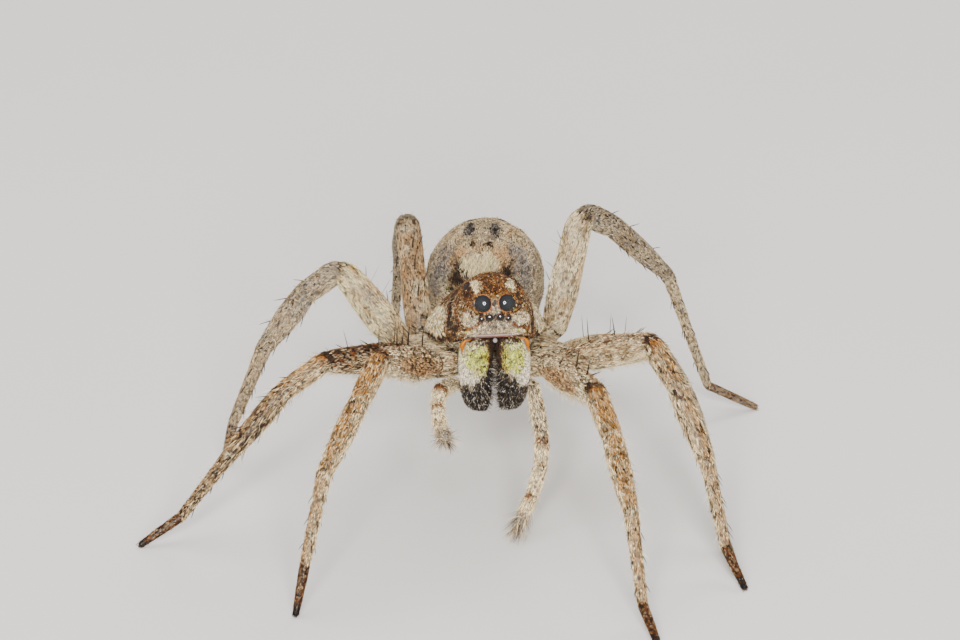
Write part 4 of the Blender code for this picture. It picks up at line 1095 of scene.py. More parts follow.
# ---- meshes ----
def new_mesh(name, points, corners, sizes):
    """Mesh from model points, the corners of all faces in one row, and each face's number of corners."""
    mesh = bpy.data.meshes.new(name)
    mesh.vertices.add(len(points))
    mesh.vertices.foreach_set("co", ((points + SHIFT) * MM).astype(np.float32).ravel())
    mesh.loops.add(len(corners))
    mesh.loops.foreach_set("vertex_index", corners.astype(np.int32))
    mesh.polygons.add(len(sizes))
    starts = np.concatenate([[0], np.cumsum(sizes)[:-1]])
    mesh.polygons.foreach_set("loop_start", starts.astype(np.int32))
    mesh.update(calc_edges=True)
    mesh.shade_smooth()
    return mesh


def give_vectors(mesh, name, values):
    """Three numbers for each vertex, under a name that materials read."""
    attribute = mesh.attributes.new(name, "FLOAT_VECTOR", "POINT")
    attribute.data.foreach_set("vector", values.astype(np.float32).ravel())


def give_shade(mesh, shade):
    """The first of a vertex's marks, with nothing in the other two."""
    marks = np.zeros((len(mesh.vertices), 3))
    marks[:, 0] = shade
    give_vectors(mesh, "marks", marks)


def give_map(mesh, places):
    """Map places for each corner of each face."""
    layer = mesh.uv_layers.new(name="OFBake")
    layer.data.foreach_set("uv", places.astype(np.float32).ravel())


def grid_faces(points, loop=False):
    """Corners and map places of a grid's faces, facing outward.

    The columns close into rings. The rows close too if loop is true; otherwise
    a fan to one more point at each end closes the surface.
    """
    rows, columns = points.shape[:2]
    index = np.arange(rows * columns).reshape(rows, columns)
    row_places = 0.02 + 0.96 * np.arange(rows + 1) / (rows if loop else max(rows - 1, 1))
    column_places = np.arange(columns + 1) / columns
    upper = np.roll(index, -1, axis=0) if loop else index[1:]
    lower = index if loop else index[:-1]
    count = len(lower)
    quads = np.stack([lower, np.roll(lower, -1, axis=1), np.roll(upper, -1, axis=1), upper], axis=-1)
    low, high = row_places[:count, None], row_places[1:count + 1, None]
    near, after = column_places[None, :-1], column_places[None, 1:]
    around = ((low, near), (low, after), (high, after), (high, near))
    quad_places = np.stack([np.stack(np.broadcast_arrays(*place), -1) for place in around], -2)
    vertices = points.reshape(-1, 3)
    corners, places, sizes = [quads.ravel()], [quad_places.reshape(-1, 2)], [np.full(count * columns, 4)]
    if not loop:
        vertices = np.concatenate([vertices, points[0].mean(0)[None], points[-1].mean(0)[None]])
        for end, ring, edge, pole in ((0, index[0], 0.02, 0.0), (1, index[-1], 0.98, 1.0)):
            after_ring = np.roll(ring, -1)
            tip = np.full(columns, rows * columns + end)
            middle = (column_places[:-1] + column_places[1:]) / 2.0
            tip_place = np.stack([np.full(columns, pole), middle], -1)
            this_place = np.stack([np.full(columns, edge), column_places[:-1]], -1)
            next_place = np.stack([np.full(columns, edge), column_places[1:]], -1)
            if end == 0:
                fan, fan_places = (tip, after_ring, ring), (tip_place, next_place, this_place)
            else:
                fan, fan_places = (tip, ring, after_ring), (tip_place, this_place, next_place)
            corners.append(np.stack(fan, axis=-1).ravel())
            places.append(np.stack(fan_places, axis=-2).reshape(-1, 2))
            sizes.append(np.full(columns, 3))
    a, b, c = (vertices[quads[..., k]] for k in (0, 1, 2))
    middle = vertices.mean(axis=0)
    volume = np.einsum("...i,...i", a - middle, np.cross(b - middle, c - middle)).sum()
    corners, places, sizes = np.concatenate(corners), np.concatenate(places), np.concatenate(sizes)
    if volume < 0.0:
        order = np.arange(len(corners))
        starts = np.repeat(np.concatenate([[0], np.cumsum(sizes)[:-1]]), sizes)
        lengths = np.repeat(sizes, sizes)
        order = starts + (lengths - 1 - (order - starts))
        corners, places = corners[order], places[order]
    return vertices, corners, places, sizes


def joined_faces(grids, loop=False):
    """Faces of several grids in one mesh: vertices, corners, each grid's map places, and sizes."""
    parts = [grid_faces(grid, loop) for grid in grids]
    counts = [len(vertices) for vertices, _, _, _ in parts]
    firsts = np.cumsum([0] + counts[:-1])
    corners = [part[1] + first for part, first in zip(parts, firsts)]
    vertices, sizes = (np.concatenate([part[k] for part in parts]) for k in (0, 3))
    return vertices, np.concatenate(corners), [part[2] for part in parts], sizes


def place_piece(name, mesh, material, replaced=()):
    """Object at the origin that rides on the one body, takes a material and hides any solids that it
    replaces.
    """
    piece = bpy.data.objects.new(name, mesh)
    bpy.context.scene.collection.objects.link(piece)
    mesh.materials.append(material)
    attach(piece, "root")
    if replaced:
        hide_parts(*replaced)
    return piece


def along_rings(values, columns):
    """A number for each vertex of a closed grid from one for each ring, then 0 and 1 at its two ends."""
    return np.concatenate([np.repeat(values, columns), [0.0, 1.0]])


def shaped_piece(name, grids, material, shade=0.0, replaced=(), loop=False):
    """One mesh of one or more grids, with a shade for each vertex as the first of its marks."""
    vertices, corners, _, sizes = joined_faces(grids, loop)
    mesh = new_mesh(name, vertices, corners, sizes)
    give_shade(mesh, shade)
    return place_piece(name, mesh, material, replaced)


# ---- coat ----
def strand_faces(rings):
    """Triangles of one strand: a root point, rings of three corners and a tip point."""
    faces = []
    step = RING_CORNERS
    for k in range(step):
        after = (k + 1) % step
        faces.append((0, 1 + after, 1 + k))
        for ring in range(rings - 1):
            a, b = 1 + step * ring + k, 1 + step * ring + after
            faces += [(a, b, b + step), (a, b + step, a + step)]
        last = 1 + step * (rings - 1)
        faces.append((last + k, last + after, 1 + step * rings))
    return np.array(faces)


def strand_points(root, normal, lie, length, width, lift, droop, shares, sizes):
    """Each strand follows root + length (t (cos(lift) lie + sin(lift) normal) - droop t^2 normal).

    Its rings have three corners and are flatter towards the skin than they are wide.
    """
    across = np.cross(normal, lie)

    def at(t):
        """Middle of each strand at a share of its length."""
        return root + length * (t * (np.cos(lift) * lie + np.sin(lift) * normal) - droop * t * t * normal)

    points = [root - STRAND_SINK * normal]
    for t, size in zip(shares, sizes):
        middle = at(t)
        for angle in (90.0, 210.0, 330.0):
            turn = radians(angle)
            out = cos(turn) * across + 0.6 * sin(turn) * normal
            points.append(middle + 0.5 * width * size * out)
    points.append(at(1.0))
    return np.stack(points, axis=1)


def strand_steps(shares):
    """Share of the length at each corner of a strand: its root, its rings and its tip."""
    return np.concatenate([[0.0], np.repeat(shares, RING_CORNERS), [1.0]])


def all_strand_faces(rings, count, corners_each):
    """Triangles of many strands, counted on from one to the next."""
    faces = strand_faces(rings)[None] + corners_each * np.arange(count)[:, None, None]
    return faces.reshape(-1, 3)


def strands(surface, count, seed, length, width, lift, droop, sweep=0.25, weight="density", clump=5,
            loose=0.06, shares=(0.4,), sizes=(1.0,), recolour=None, against=False):
    """Tufts whose roots are strewn over a surface in proportion to a field, each leaning its own way.

    The strands of a tuft share its colours and lean, and their roots lie loosely about its own.
    """
    rng = np.random.default_rng(seed)
    settings = bpy.context.scene.spider_sizes
    tufts = max(4, int(count * settings.fullness / clump))
    count = tufts * clump
    rows, columns, s, t = surface.scatter(tufts, rng, surface.fields[weight])

    def here(grid):
        """A grid's value at each strand's tuft."""
        return np.repeat(surface.at(grid, rows, columns, s, t), clump, axis=0)

    def each(spread):
        """One random number per tuft, and a smaller one per strand, added."""
        shared = np.repeat(rng.normal(0.0, spread, (tufts, 1)), clump, axis=0)
        return shared + rng.normal(0.0, 0.45 * spread, (count, 1))

    root, normal = here(surface.points), unit(here(surface.normals))
    lie = here(surface.lie) * (-1.0 if against else 1.0)
    lie = unit(lie - (lie * normal).sum(-1, keepdims=True) * normal + 1e-6)
    across = np.cross(normal, lie)
    aside, onward = rng.normal(0.0, loose, (count, 1)), rng.normal(0.0, 1.6 * loose, (count, 1))
    root = root + across * aside + lie * onward
    turn = each(sweep)
    lie = lie * np.cos(turn) + across * np.sin(turn)
    lengths = rng.uniform(*length, (count, 1)) * here(surface.fields["length"]) * settings.strand_length
    lifts = rng.uniform(*lift, (count, 1)) * here(surface.fields["lift"])
    widths = rng.uniform(*width, (count, 1))
    points = strand_points(root, normal, lie, lengths, widths, lifts, droop, shares, sizes)
    keep_above_floor(points)
    corners_each = points.shape[1]
    along = strand_steps(shares)
    spread = np.concatenate([[0.0], np.tile((-0.5, 0.0, 0.5), len(shares)), [0.0]])
    u = 0.01 + 0.98 * np.repeat((rows[:, None] + s) / (len(surface.points) - 1), clump, axis=0)
    v = 0.01 + 0.98 * np.repeat((columns[:, None] + t) / surface.points.shape[1], clump, axis=0)
    places = np.stack([u + (along - 0.5) * PATCH, v + spread * PATCH], axis=-1)
    marks = {name: here(surface.fields[name]) for name in MARKS}
    for name, value in (recolour or {}).items():
        marks[name] = np.full_like(marks[name], value)
    strand = np.zeros((count, corners_each, 3))
    strand[..., :2] = np.repeat(rng.uniform(0.1, 0.9, (tufts, 2)), clump, axis=0)[:, None]
    strand[..., :2] += rng.normal(0.0, 0.03, (count, 1, 2))
    strand[..., 2] = along
    made = {"points": points.reshape(-1, 3), "places": places.reshape(-1, 2), "strand": strand.reshape(-1, 3)}
    made["faces"] = all_strand_faces(len(shares), count, corners_each)
    for key, names in MARK_SETS.items():
        values = np.concatenate([marks[name] for name in names], axis=-1)
        made[key] = np.repeat(values, corners_each, axis=0)
    return made


def coat_piece(name, batches, material):
    """One mesh of all the batches of strands, with their marks and the coat's map."""
    first, faces = 0, []
    for batch in batches:
        faces.append(batch["faces"] + first)
        first += len(batch["points"])
    faces = np.concatenate(faces)

    def joined(key):
        """One array of all the batches."""
        return np.concatenate([batch[key] for batch in batches])

    mesh = new_mesh(name, joined("points"), faces.ravel(), np.full(len(faces), 3))
    for key in (*MARK_SETS, "strand"):
        give_vectors(mesh, key, joined(key))
    give_map(mesh, joined("places")[faces.ravel()])
    return place_piece(name, mesh, material)


# ---- shader nodes ----
class Wire:
    """One output of a shader node. Sums on wires add Math nodes; node() adds any other node."""

    def __init__(self, tree, socket=None):
        self.tree = tree
        self.socket = socket

    def plug(self, socket, value):
        """Links a wire to a socket, or sets the socket's own value."""
        if isinstance(value, Wire):
            self.tree.links.new(value.socket, socket)
        elif hasattr(value, "__len__") and len(value) == 3 and len(socket.default_value) == 4:
            socket.default_value = (*value, 1.0)
        else:
            socket.default_value = value

    def node(self, kind, settings, sockets, output=0):
        """Adds a node of this kind: its settings first, then the values or links of its sockets."""
        made = self.tree.nodes.new("ShaderNode" + kind)
        for name, value in settings.items():
            setattr(made, name, value)
        for name, value in sockets.items():
            self.plug(made.inputs[name], value)
        return Wire(self.tree, made.outputs[output])

    def math(self, operation, first, second=0.0):
        """Result of one Math node."""
        return self.node("Math", {"operation": operation}, {0: first, 1: second})

    def __add__(self, other):
        return self.math("ADD", self, other)

    def __sub__(self, other):
        return self.math("SUBTRACT", self, other)

    def __rsub__(self, other):
        return self.math("SUBTRACT", other, self)

    def __mul__(self, other):
        return self.math("MULTIPLY", self, other)

    def clamp(self):
        """The value held between 0 and 1."""
        return self.node("Clamp", {}, {"Value": self})

    def fraction(self):
        """What follows the decimal point."""
        return self.math("FRACT", self)

    def parts(self):
        """The three parts of a vector, each as a wire."""
        made = self.tree.nodes.new("ShaderNodeSeparateXYZ")
        self.plug(made.inputs[0], self)
        return [Wire(self.tree, output) for output in made.outputs]

    def mix(self, under, over, share):
        """Colour between two, by a share of the second."""
        return self.node("Mix", {"data_type": "RGBA"}, {0: share, 6: under, 7: over}, 2)

    def scaled(self, amount):
        """A colour or vector times a number."""
        return self.node("VectorMath", {"operation": "SCALE"}, {0: self, "Scale": amount})

    def noise(self, place, size, detail=3.0, output="Fac"):
        """Noise whose features are about that many millimetres across."""
        sockets = {"Vector": place, "Scale": 1.0 / (size * MM), "Detail": detail}
        return self.node("TexNoise", {}, sockets, output)


    def read(self, key):
        """The three parts of a vector that the mesh carries."""
        return self.node("Attribute", {"attribute_name": key}, {}, "Vector").parts()

    def give(self, shader, values):
        """Links or values for the shader's sockets, by name."""
        for name, value in values.items():
            self.plug(shader.inputs[name], value)

    def raise_grain(self, shader, strength, distance, height):
        """Bumps of that many millimetres in the shader's surface."""
        sockets = {"Strength": strength, "Distance": distance * MM, "Height": height}
        self.plug(shader.inputs["Normal"], self.node("Bump", {}, sockets, "Normal"))


def start_material(name):
    """New material: itself, its shader, a wire to start from and the place on the body."""
    made = bpy.data.materials.new(name)
    made.use_nodes = True
    shader = made.node_tree.nodes["Principled BSDF"]
    start = Wire(made.node_tree)
    place = start.node("TexCoord", {}, {}, "Object")
    return made, shader, start, place


def coat_material(name, roughness, on_skin, tone=1.0, contrast=1.0, soft=0.0, paints=None):
    """Hair colours: each tuft takes a mark's colour with the mark's strength as its chance.

    A soft coat blends the colours instead. On the skin, small cells take the place of the tufts,
    so that it carries the same markings. Bare places are smoother and more even.
    """
    colours = bpy.context.scene.spider_colours
    made, shader, start, place = start_material(name)

    rust, cream, dark = start.read("marks")
    grey, peach, orange = start.read("tints")
    black, yellow, bare = start.read("shades")
    if on_skin:
        cells = start.node("TexVoronoi", {}, {"Vector": place, "Scale": 1.0 / (0.14 * MM)}, "Color")
        first, second, along = cells.parts()
    else:
        first, second, along = start.read("strand")
    drift = start.noise(place, 0.8) - 0.5

    def chance(mark, turn):
        """1 where a tuft's dice, thrown anew for each mark, fall below the mark's strength."""
        dice = (first * (1.0 + turn) + second * (3.7 - turn)).fraction()
        return ((mark * 1.15 + drift * mark * 0.5 - dice - 0.02) * MARK_SHARPNESS).clamp()

    colour = start.mix(tuple(colours.sand), tuple(colours.peach), (drift * 1.2 + 0.15).clamp())
    layers = ((grey, "grey"), (peach, "peach"), (cream, "cream"), (yellow, "yellow"), (rust, "rust"),
              (orange, "orange"), (dark, "dark"), (black, "black"))
    for number, (mark, colour_name) in enumerate(layers):
        paint = (paints or {}).get(colour_name, tuple(getattr(colours, colour_name)))
        share = chance(mark, 0.61 * number)
        if soft:
            share = share * (1.0 - soft) + mark * soft
        colour = start.mix(colour, paint, share)
    own = (first * 53.0 + second * 31.0).fraction()
    shade = (second * 7.3 + first * 2.9).fraction() * 1.1 + own * 0.5 - 0.8
    light = start.math("MAXIMUM", shade * (1.0 - bare) * contrast + 1.0, 0.08) * tone
    if on_skin:
        light = light * (start.noise(place, 0.25, 4.0) * 0.7 + 0.30)
    else:
        light = light * (along * 0.30 + 0.82)
    even = roughness - bare * (roughness - 0.28)
    start.give(shader, {"Base Color": colour.scaled(light), "Roughness": even, "Specular IOR Level": 0.35})
    if on_skin:
        start.raise_grain(shader, 0.5, 0.05, start.noise(place, 0.10, 4.0) + start.noise(place, 0.5) * 0.8)
    return made


def eye_material(name, middle, edge, shine=1.6):
    """Lens under a clear glossy coat, darker towards its rim."""
    made, shader, start, place = start_material(name)
    rim = start.read("marks")[0]
    cloud = start.noise(place, 0.35)
    colour = start.mix(middle, edge, (rim * 1.5 - 0.35 + cloud * 0.2).clamp())
    start.give(shader, {"Base Color": colour, "Roughness": cloud * 0.06 + 0.30, "Specular IOR Level": 0.0,
                        "Coat Weight": 1.0, "Coat IOR": shine, "Coat Roughness": 0.02})
    return made


def rim_material():
    """Glossy amber skin of the eye sockets, darker by the first of their marks."""
    made, shader, start, place = start_material("eye_socket")
    shade = start.read("marks")[0]
    grain = start.noise(place, 0.08)
    broken = start.noise(place, 0.22)
    colour = start.mix((0.46, 0.13, 0.006), (0.20, 0.04, 0.006), (grain * 1.6 - 0.3).clamp())
    colour = start.mix(colour, (0.02, 0.010, 0.006), (broken * 9.0 - 4.7).clamp())
    colour = start.mix(colour, (0.02, 0.012, 0.010), shade)
    start.give(shader, {"Base Color": colour, "Roughness": grain * 0.2 + 0.36})
    start.raise_grain(shader, 0.4, 0.02, grain)
    return made


def horn_material(name, root_colour, tip_colour, gloss=0.5):
    """Polished horn that darkens from root to tip, with fine lengthwise grain."""
    made, shader, start, place = start_material(name)
    along = start.read("marks")[0]
    grain = start.noise(place, 0.12)
    colour = start.mix(root_colour, tip_colour, (along * 1.4 - 0.2 + grain * 0.3).clamp())
    start.give(shader, {"Base Color": colour, "Roughness": grain * 0.25 + 0.18, "Specular IOR Level": gloss})
    start.raise_grain(shader, 0.3, 0.02, grain)
    return made


def floor_material():
    """Pale matt floor with a faint cloudiness."""
    made, shader, start, place = start_material("floor")
    colour = tuple(bpy.context.scene.spider_colours.floor)
    darker = tuple(0.93 * part for part in colour)
    cloudy = start.mix(colour, darker, start.noise(place, 30.0))
    start.give(shader, {"Base Color": cloudy, "Roughness": 0.8})
    return made


# ---- pieces ----
def build_surfaces():
    """Every surface of the body, by name, in the order that the skin joins them."""
    depth = bpy.context.scene.spider_sizes.coat_depth / MM
    made = {
        "carapace": [carapace_surface(depth)],
        "sternum": [sternum_surface(depth), side_membrane_surface()],
        "abdomen": [abdomen_surface(depth)],
        "spinnerets": spinneret_surfaces(depth),
        "jaws": [jaw_surface(side_name, depth) for side_name in SIDES],
        "palps": [palp_surface(side_name, depth) for side_name in SIDES],
    }
    for side_name, pair in LEGS_IN_ORDER:
        made[leg_name(side_name, pair)] = [leg_surface(side_name, pair, depth)]
    return made


surfaces = {}


def all_surfaces():
    """The body's surfaces, built when they are first asked for."""
    if not surfaces:
        surfaces.update(build_surfaces())
    return surfaces


class SPIDER_OT_skin(bpy.types.Operator):
    """Makes the one skin of body, jaws, palps and legs"""
    bl_idname = "spider.skin"
    bl_label = "Skin"

    def execute(self, context):
        parts = [surface for group in all_surfaces().values() for surface in group]
        vertices, corners, places, sizes = joined_faces([surface.points for surface in parts])
        mesh = new_mesh("skin", vertices, corners, sizes)
        cell = 1.0 / MAP_CELLS
        for number, own in enumerate(places):
            corner = np.array([number % MAP_CELLS, number // MAP_CELLS]) * cell
            places[number] = corner + cell * (0.03 + 0.94 * own)
        give_map(mesh, np.concatenate(places))
        for key, names in MARK_SETS.items():
            values = []
            for surface in parts:
                grid = np.stack([surface.fields[name] for name in names], axis=-1)
                values += [grid.reshape(-1, 3), grid[0].mean(0)[None], grid[-1].mean(0)[None]]
            give_vectors(mesh, key, np.concatenate(values))
        flesh = [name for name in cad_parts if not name.startswith(("eye", "fang"))]
        # The skin's low tone of 0.42 is painted shade: the skin that shows between the hairs is made as dark
        # as the shadow under them.
        place_piece("skin", mesh, coat_material("spider_skin", 0.50, True, 0.42), sorted(flesh))
        return {"FINISHED"}


class SPIDER_OT_body_coat(bpy.types.Operator):
    """Makes the coat of head, thorax, breast plate, abdomen and spinnerets"""
    bl_idname = "spider.body_coat"
    bl_label = "Body coat"

    def execute(self, context):
        made = all_surfaces()
        carapace = made["carapace"][0]
        head_hair = coat_material("head_hair", 0.40, False, 0.95, 1.2, 0.0,
                                  {"yellow": (0.66, 0.42, 0.09), "cream": (0.90, 0.76, 0.50)})
        coat_piece("coat_carapace", [
            strands(carapace, 31000, 101, (0.15, 0.28), (0.032, 0.048), (0.05, 0.30), 0.10, 0.45,
                    clump=4, loose=0.035),
            strands(carapace, 500, 102, (0.30, 0.50), (0.022, 0.030), (0.5, 1.1), 0.15, 0.5,
                    recolour={"cream": 0.5, "dark": 0.3}, **BRISTLE),
        ], head_hair)
        plate, membrane = made["sternum"]
        coat_piece("coat_sternum", [
            strands(plate, 2500, 111, (0.30, 0.50), (0.035, 0.05), (0.15, 0.5), 0.1),
            strands(membrane, 2500, 112, (0.30, 0.50), (0.035, 0.05), (0.15, 0.6), 0.1),
        ], coat_material("breast_hair", 0.6, False, 0.9))
        abdomen = made["abdomen"][0]
        coat_piece("coat_abdomen", [
            strands(abdomen, 30000, 121, (0.24, 0.38), (0.046, 0.070), (0.02, 0.16), 0.10, 0.30, loose=0.07),
            strands(abdomen, 350, 122, (0.35, 0.60), (0.022, 0.030), (0.4, 0.9), 0.15, 0.4, **BRISTLE),
            strands(abdomen, 900, 123, (0.65, 1.05), (0.028, 0.042), (0.10, 0.40), 0.22, 0.25, weight="tuft",
                    clump=3, loose=0.05, shares=(0.1, 0.6), sizes=(1.0, 0.75), against=True,
                    recolour=TUFT_CREAM),
        ], coat_material("abdomen_hair", 0.55, False, 0.90, 0.85, 0.35))
        fingers = [strands(finger, 350, 131 + k, (0.2, 0.4), (0.03, 0.045), (0.1, 0.5), 0.1)
                   for k, finger in enumerate(made["spinnerets"])]
        spinneret_hair = coat_material("spinneret_hair", 0.6, False)
        coat_piece("coat_spinnerets", fingers, spinneret_hair)
        return {"FINISHED"}


class SPIDER_OT_jaw_coat(bpy.types.Operator):
    """Makes the coat of the two jaws"""
    bl_idname = "spider.jaw_coat"
    bl_label = "Jaw coat"

    def execute(self, context):
        jaw_hair = coat_material("jaw_hair", 0.45, False, 1.0, 1.15, 0.25, {"cream": (0.90, 0.80, 0.66)})
        batches = []
        for k, jaw in enumerate(all_surfaces()["jaws"]):
            batches += [
                strands(jaw, 11000, 201 + k, (0.14, 0.26), (0.028, 0.044), (0.05, 0.34), 0.10, 0.3,
                        clump=3, loose=0.03),
                strands(jaw, 560, 206 + k, (0.12, 0.22), (0.018, 0.025), (0.3, 0.9), 0.1, 0.3,
                        weight="low", recolour=SILVER, **BRISTLE),
                # Black hairs on the inner faces fill the gap between the jaws: partly real dark bristles,
                # partly painted shade of the gap.
                strands(jaw, 500, 209 + k, (0.28, 0.50), (0.026, 0.036), (0.5, 1.1), 0.1, 0.3,
                        weight="inside", recolour=JAW_BLACK, **BRISTLE),
                strands(jaw, 90, 211 + k, (0.25, 0.45), (0.022, 0.030), (0.4, 0.9), 0.1, 0.3,
                        weight="inside", recolour=SILVER, **BRISTLE),
            ]
        coat_piece("coat_jaws", batches, jaw_hair)
        return {"FINISHED"}


class SPIDER_OT_limb_coats(bpy.types.Operator):
    """Makes the coats of the palps and of the eight legs"""
    bl_idname = "spider.limb_coats"
    bl_label = "Limb coats"

    def execute(self, context):
        made = all_surfaces()
        limb_hair = coat_material("limb_hair", 0.42, False, 1.03, 1.15)
        back_hair = coat_material("back_leg_hair", 0.5, False, 0.96, 0.55, 0.6)
        batches = []
        for k, palp in enumerate(made["palps"]):
            batches += [
                strands(palp, 8000, 301 + k, (0.20, 0.36), (0.030, 0.046), (0.04, 0.26), 0.10,
                        clump=4, loose=0.04),
                strands(palp, 420, 311 + k, (0.30, 0.50), (0.022, 0.032), (0.5, 0.95), 0.12, 0.3,
                        recolour={"cream": 0.7}, **BRISTLE),
                strands(palp, 190, 321 + k, (0.60, 1.15), (0.026, 0.034), (0.3, 1.0), 0.05, 0.3,
                        weight="tip", recolour=BRUSH_GREY, **BRISTLE),
            ]
        coat_piece("coat_palps", batches, limb_hair)
        for side_name, pair in LEGS_IN_ORDER:
            name = leg_name(side_name, pair)
            leg = made[name][0]
            seed = 400 + 20 * pair + 7 * (side_name == "left")
            lift = (0.03, 0.22) if pair <= 2 else (0.02, 0.13)
            coat_piece("coat_" + name, [
                strands(leg, 14000, seed, (0.24, 0.48), (0.030, 0.048), lift, 0.10, 0.14,
                        clump=4, loose=0.045),
                strands(leg, ERECT_HAIRS[pair], seed + 1, (0.34, 0.66), (0.024, 0.032), (0.5, 1.1), 0.15, 0.3,
                        **BRISTLE),
                strands(leg, FRINGE_HAIRS[pair], seed + 2, (0.50, 0.90), (0.024, 0.032), (0.45, 0.95), 0.10,
                        0.3, weight="fringe", recolour=FRINGE_PALE, **BRISTLE),
            ], limb_hair if pair <= 2 else back_hair)
        return {"FINISHED"}


def limb_place(surface, segment, share, turn):
    """Point, normal and onward direction on a limb's skin at a share of a segment and a turn round it."""
    line = surface.line
    inside = np.where(line.segments == segment)[0]
    row = inside[np.argmin(np.abs(line.shares[inside] - share))]
    columns = surface.points.shape[1]
    column = int(round(turn / 360.0 * columns)) % columns
    return surface.points[row, column], surface.normals[row, column], surface.ahead[row, column]


class SPIDER_OT_spines(bpy.types.Operator):
    """Makes the stout dark spines of the legs"""
    bl_idname = "spider.spines"
    bl_label = "Spines"

    def execute(self, context):
        rng = np.random.default_rng(77)
        rows = []
        for side_name, pair in LEGS_IN_ORDER:
            leg = all_surfaces()[leg_name(side_name, pair)][0]
            for segment, share, turn, length, lift in self.plan(side_name, pair):
                place = limb_place(leg, segment, share + rng.uniform(-0.03, 0.03), turn)
                rows.append((*place, [length * rng.uniform(0.8, 1.15)], [lift * rng.uniform(0.9, 1.1)]))
        root, normal, way, length, lift = (np.array(column) for column in zip(*rows))
        way = unit(way - (way * normal).sum(-1, keepdims=True) * normal)
        shares = (0.02, 0.35, 0.75)
        points = strand_points(root, normal, way, length, 0.12, lift, 0.06, shares, (1.0, 0.85, 0.55))
        keep_above_floor(points)
        count, corners_each = points.shape[:2]
        faces = all_strand_faces(len(shares), count, corners_each)
        mesh = new_mesh("spines", points.reshape(-1, 3), faces.ravel(), np.full(len(faces), 3))
        give_shade(mesh, np.tile(strand_steps(shares), count))
        horn = horn_material("spine_horn", (0.05, 0.028, 0.016), (0.012, 0.008, 0.006))
        place_piece("spines", mesh, horn)
        return {"FINISHED"}

    @staticmethod
    def plan(side_name, pair):
        """Segment, share along it, turn round it, length and lift of each spine of a leg."""
        outer = TOP_TURN + SIDES[side_name] * 45.0
        tops = FEMUR_SPINES.get((side_name, pair), (0.30, 0.55, 0.72))
        plan = [(FEMUR, share, TOP_TURN, 1.45, 1.30) for share in tops]
        plan += [(FEMUR, share, outer, 0.75, 0.7) for share in (0.45, 0.78)]
        plan += [(PATELLA, 0.80, TOP_TURN, 0.7, 0.8)]
        plan += [(TIBIA, share, TOP_TURN, 0.8, 0.8) for share in (0.18, 0.62)]
        for share in (0.25, 0.55, 0.88):
            plan += [(TIBIA, share, turn, 0.75, 0.45) for turn in (245.0, 295.0)]
            plan += [(METATARSUS, share * 0.9, turn, 0.62, 0.45) for turn in (240.0, 300.0, 20.0, 160.0)]
        return plan


def rings_about(centre, gaze, offsets, sizes, columns):
    """Rings square to a gaze, each at its own offset along it and of its own size."""
    across = unit(np.cross(gaze, UP))
    centres = centre + offsets[:, None] * gaze
    return oval_rings(centres, across, np.cross(across, gaze), sizes, sizes, turns_of(columns))


def dome_points(centre, gaze, radius, height, polar, columns):
    """Ellipsoid about a gaze: radius sin(polar) round it and height cos(polar) along it."""
    return rings_about(centre, gaze, height * np.cos(polar), radius * np.sin(polar), columns)


def ring_points(centre, gaze, radius, thickness, rows, columns):
    """Torus about a gaze: (radius + thickness cos(b)) round it and thickness sin(b) along it."""
    b = turns_of(rows)
    return rings_about(centre, gaze, thickness * np.sin(b), radius + thickness * np.cos(b), columns)


def polar_steps(rows):
    """Angles from one pole to the other, both left out."""
    return np.linspace(0.0, pi, rows + 2)[1:-1]


class SPIDER_OT_eyes(bpy.types.Operator):
    """Makes the eight eyes and their sockets"""
    bl_idname = "spider.eyes"
    bl_label = "Eyes"

    def execute(self, context):
        slate = eye_material("eye_slate", (0.020, 0.022, 0.024), (0.008, 0.008, 0.009))
        brown = eye_material("eye_brown", (0.007, 0.004, 0.004), (0.005, 0.003, 0.002), 2.2)
        socket = rim_material()
        polar, columns = polar_steps(30), 40
        rings, shades = [], []
        for side_name in SIDES:
            for kind, (seat, gaze, radius) in eye_seats(side_name).items():
                size = radius * EYE_SWELL[kind]
                dome = dome_points(seat + (EYE_RAISE - 0.15 * radius) * gaze, gaze, size,
                                   radius * (EYE_HEIGHT + 0.15), polar, columns)
                name = "%s_%s" % (kind, side_name)
                lens = slate if kind == "posterior_median" else brown
                shaped_piece("lens_" + name, [dome], lens, along_rings(polar / pi * 2.0, columns),
                             ["eye_" + name])
                thick = 0.036 if radius > 0.3 else 0.022
                middle = seat + (0.5 * EYE_RAISE - 0.05 * radius) * gaze
                ring = ring_points(middle, gaze, size, thick, 12, 48)
                rings.append(ring)
                shades.append(np.full(ring.shape[0] * ring.shape[1], SOCKET_SHADE[kind]))
        shaped_piece("eye_sockets", rings, socket, np.concatenate(shades), loop=True)
        return {"FINISHED"}


def horn_points(centres, radii, across, columns):
    """Tube of round rings along a curved line, narrowing to its tip."""
    ways = unit(np.gradient(centres, axis=0))
    flat = unit(np.cross(ways, across))
    return oval_rings(centres, flat, np.cross(ways, flat), radii, radii, turns_of(columns))


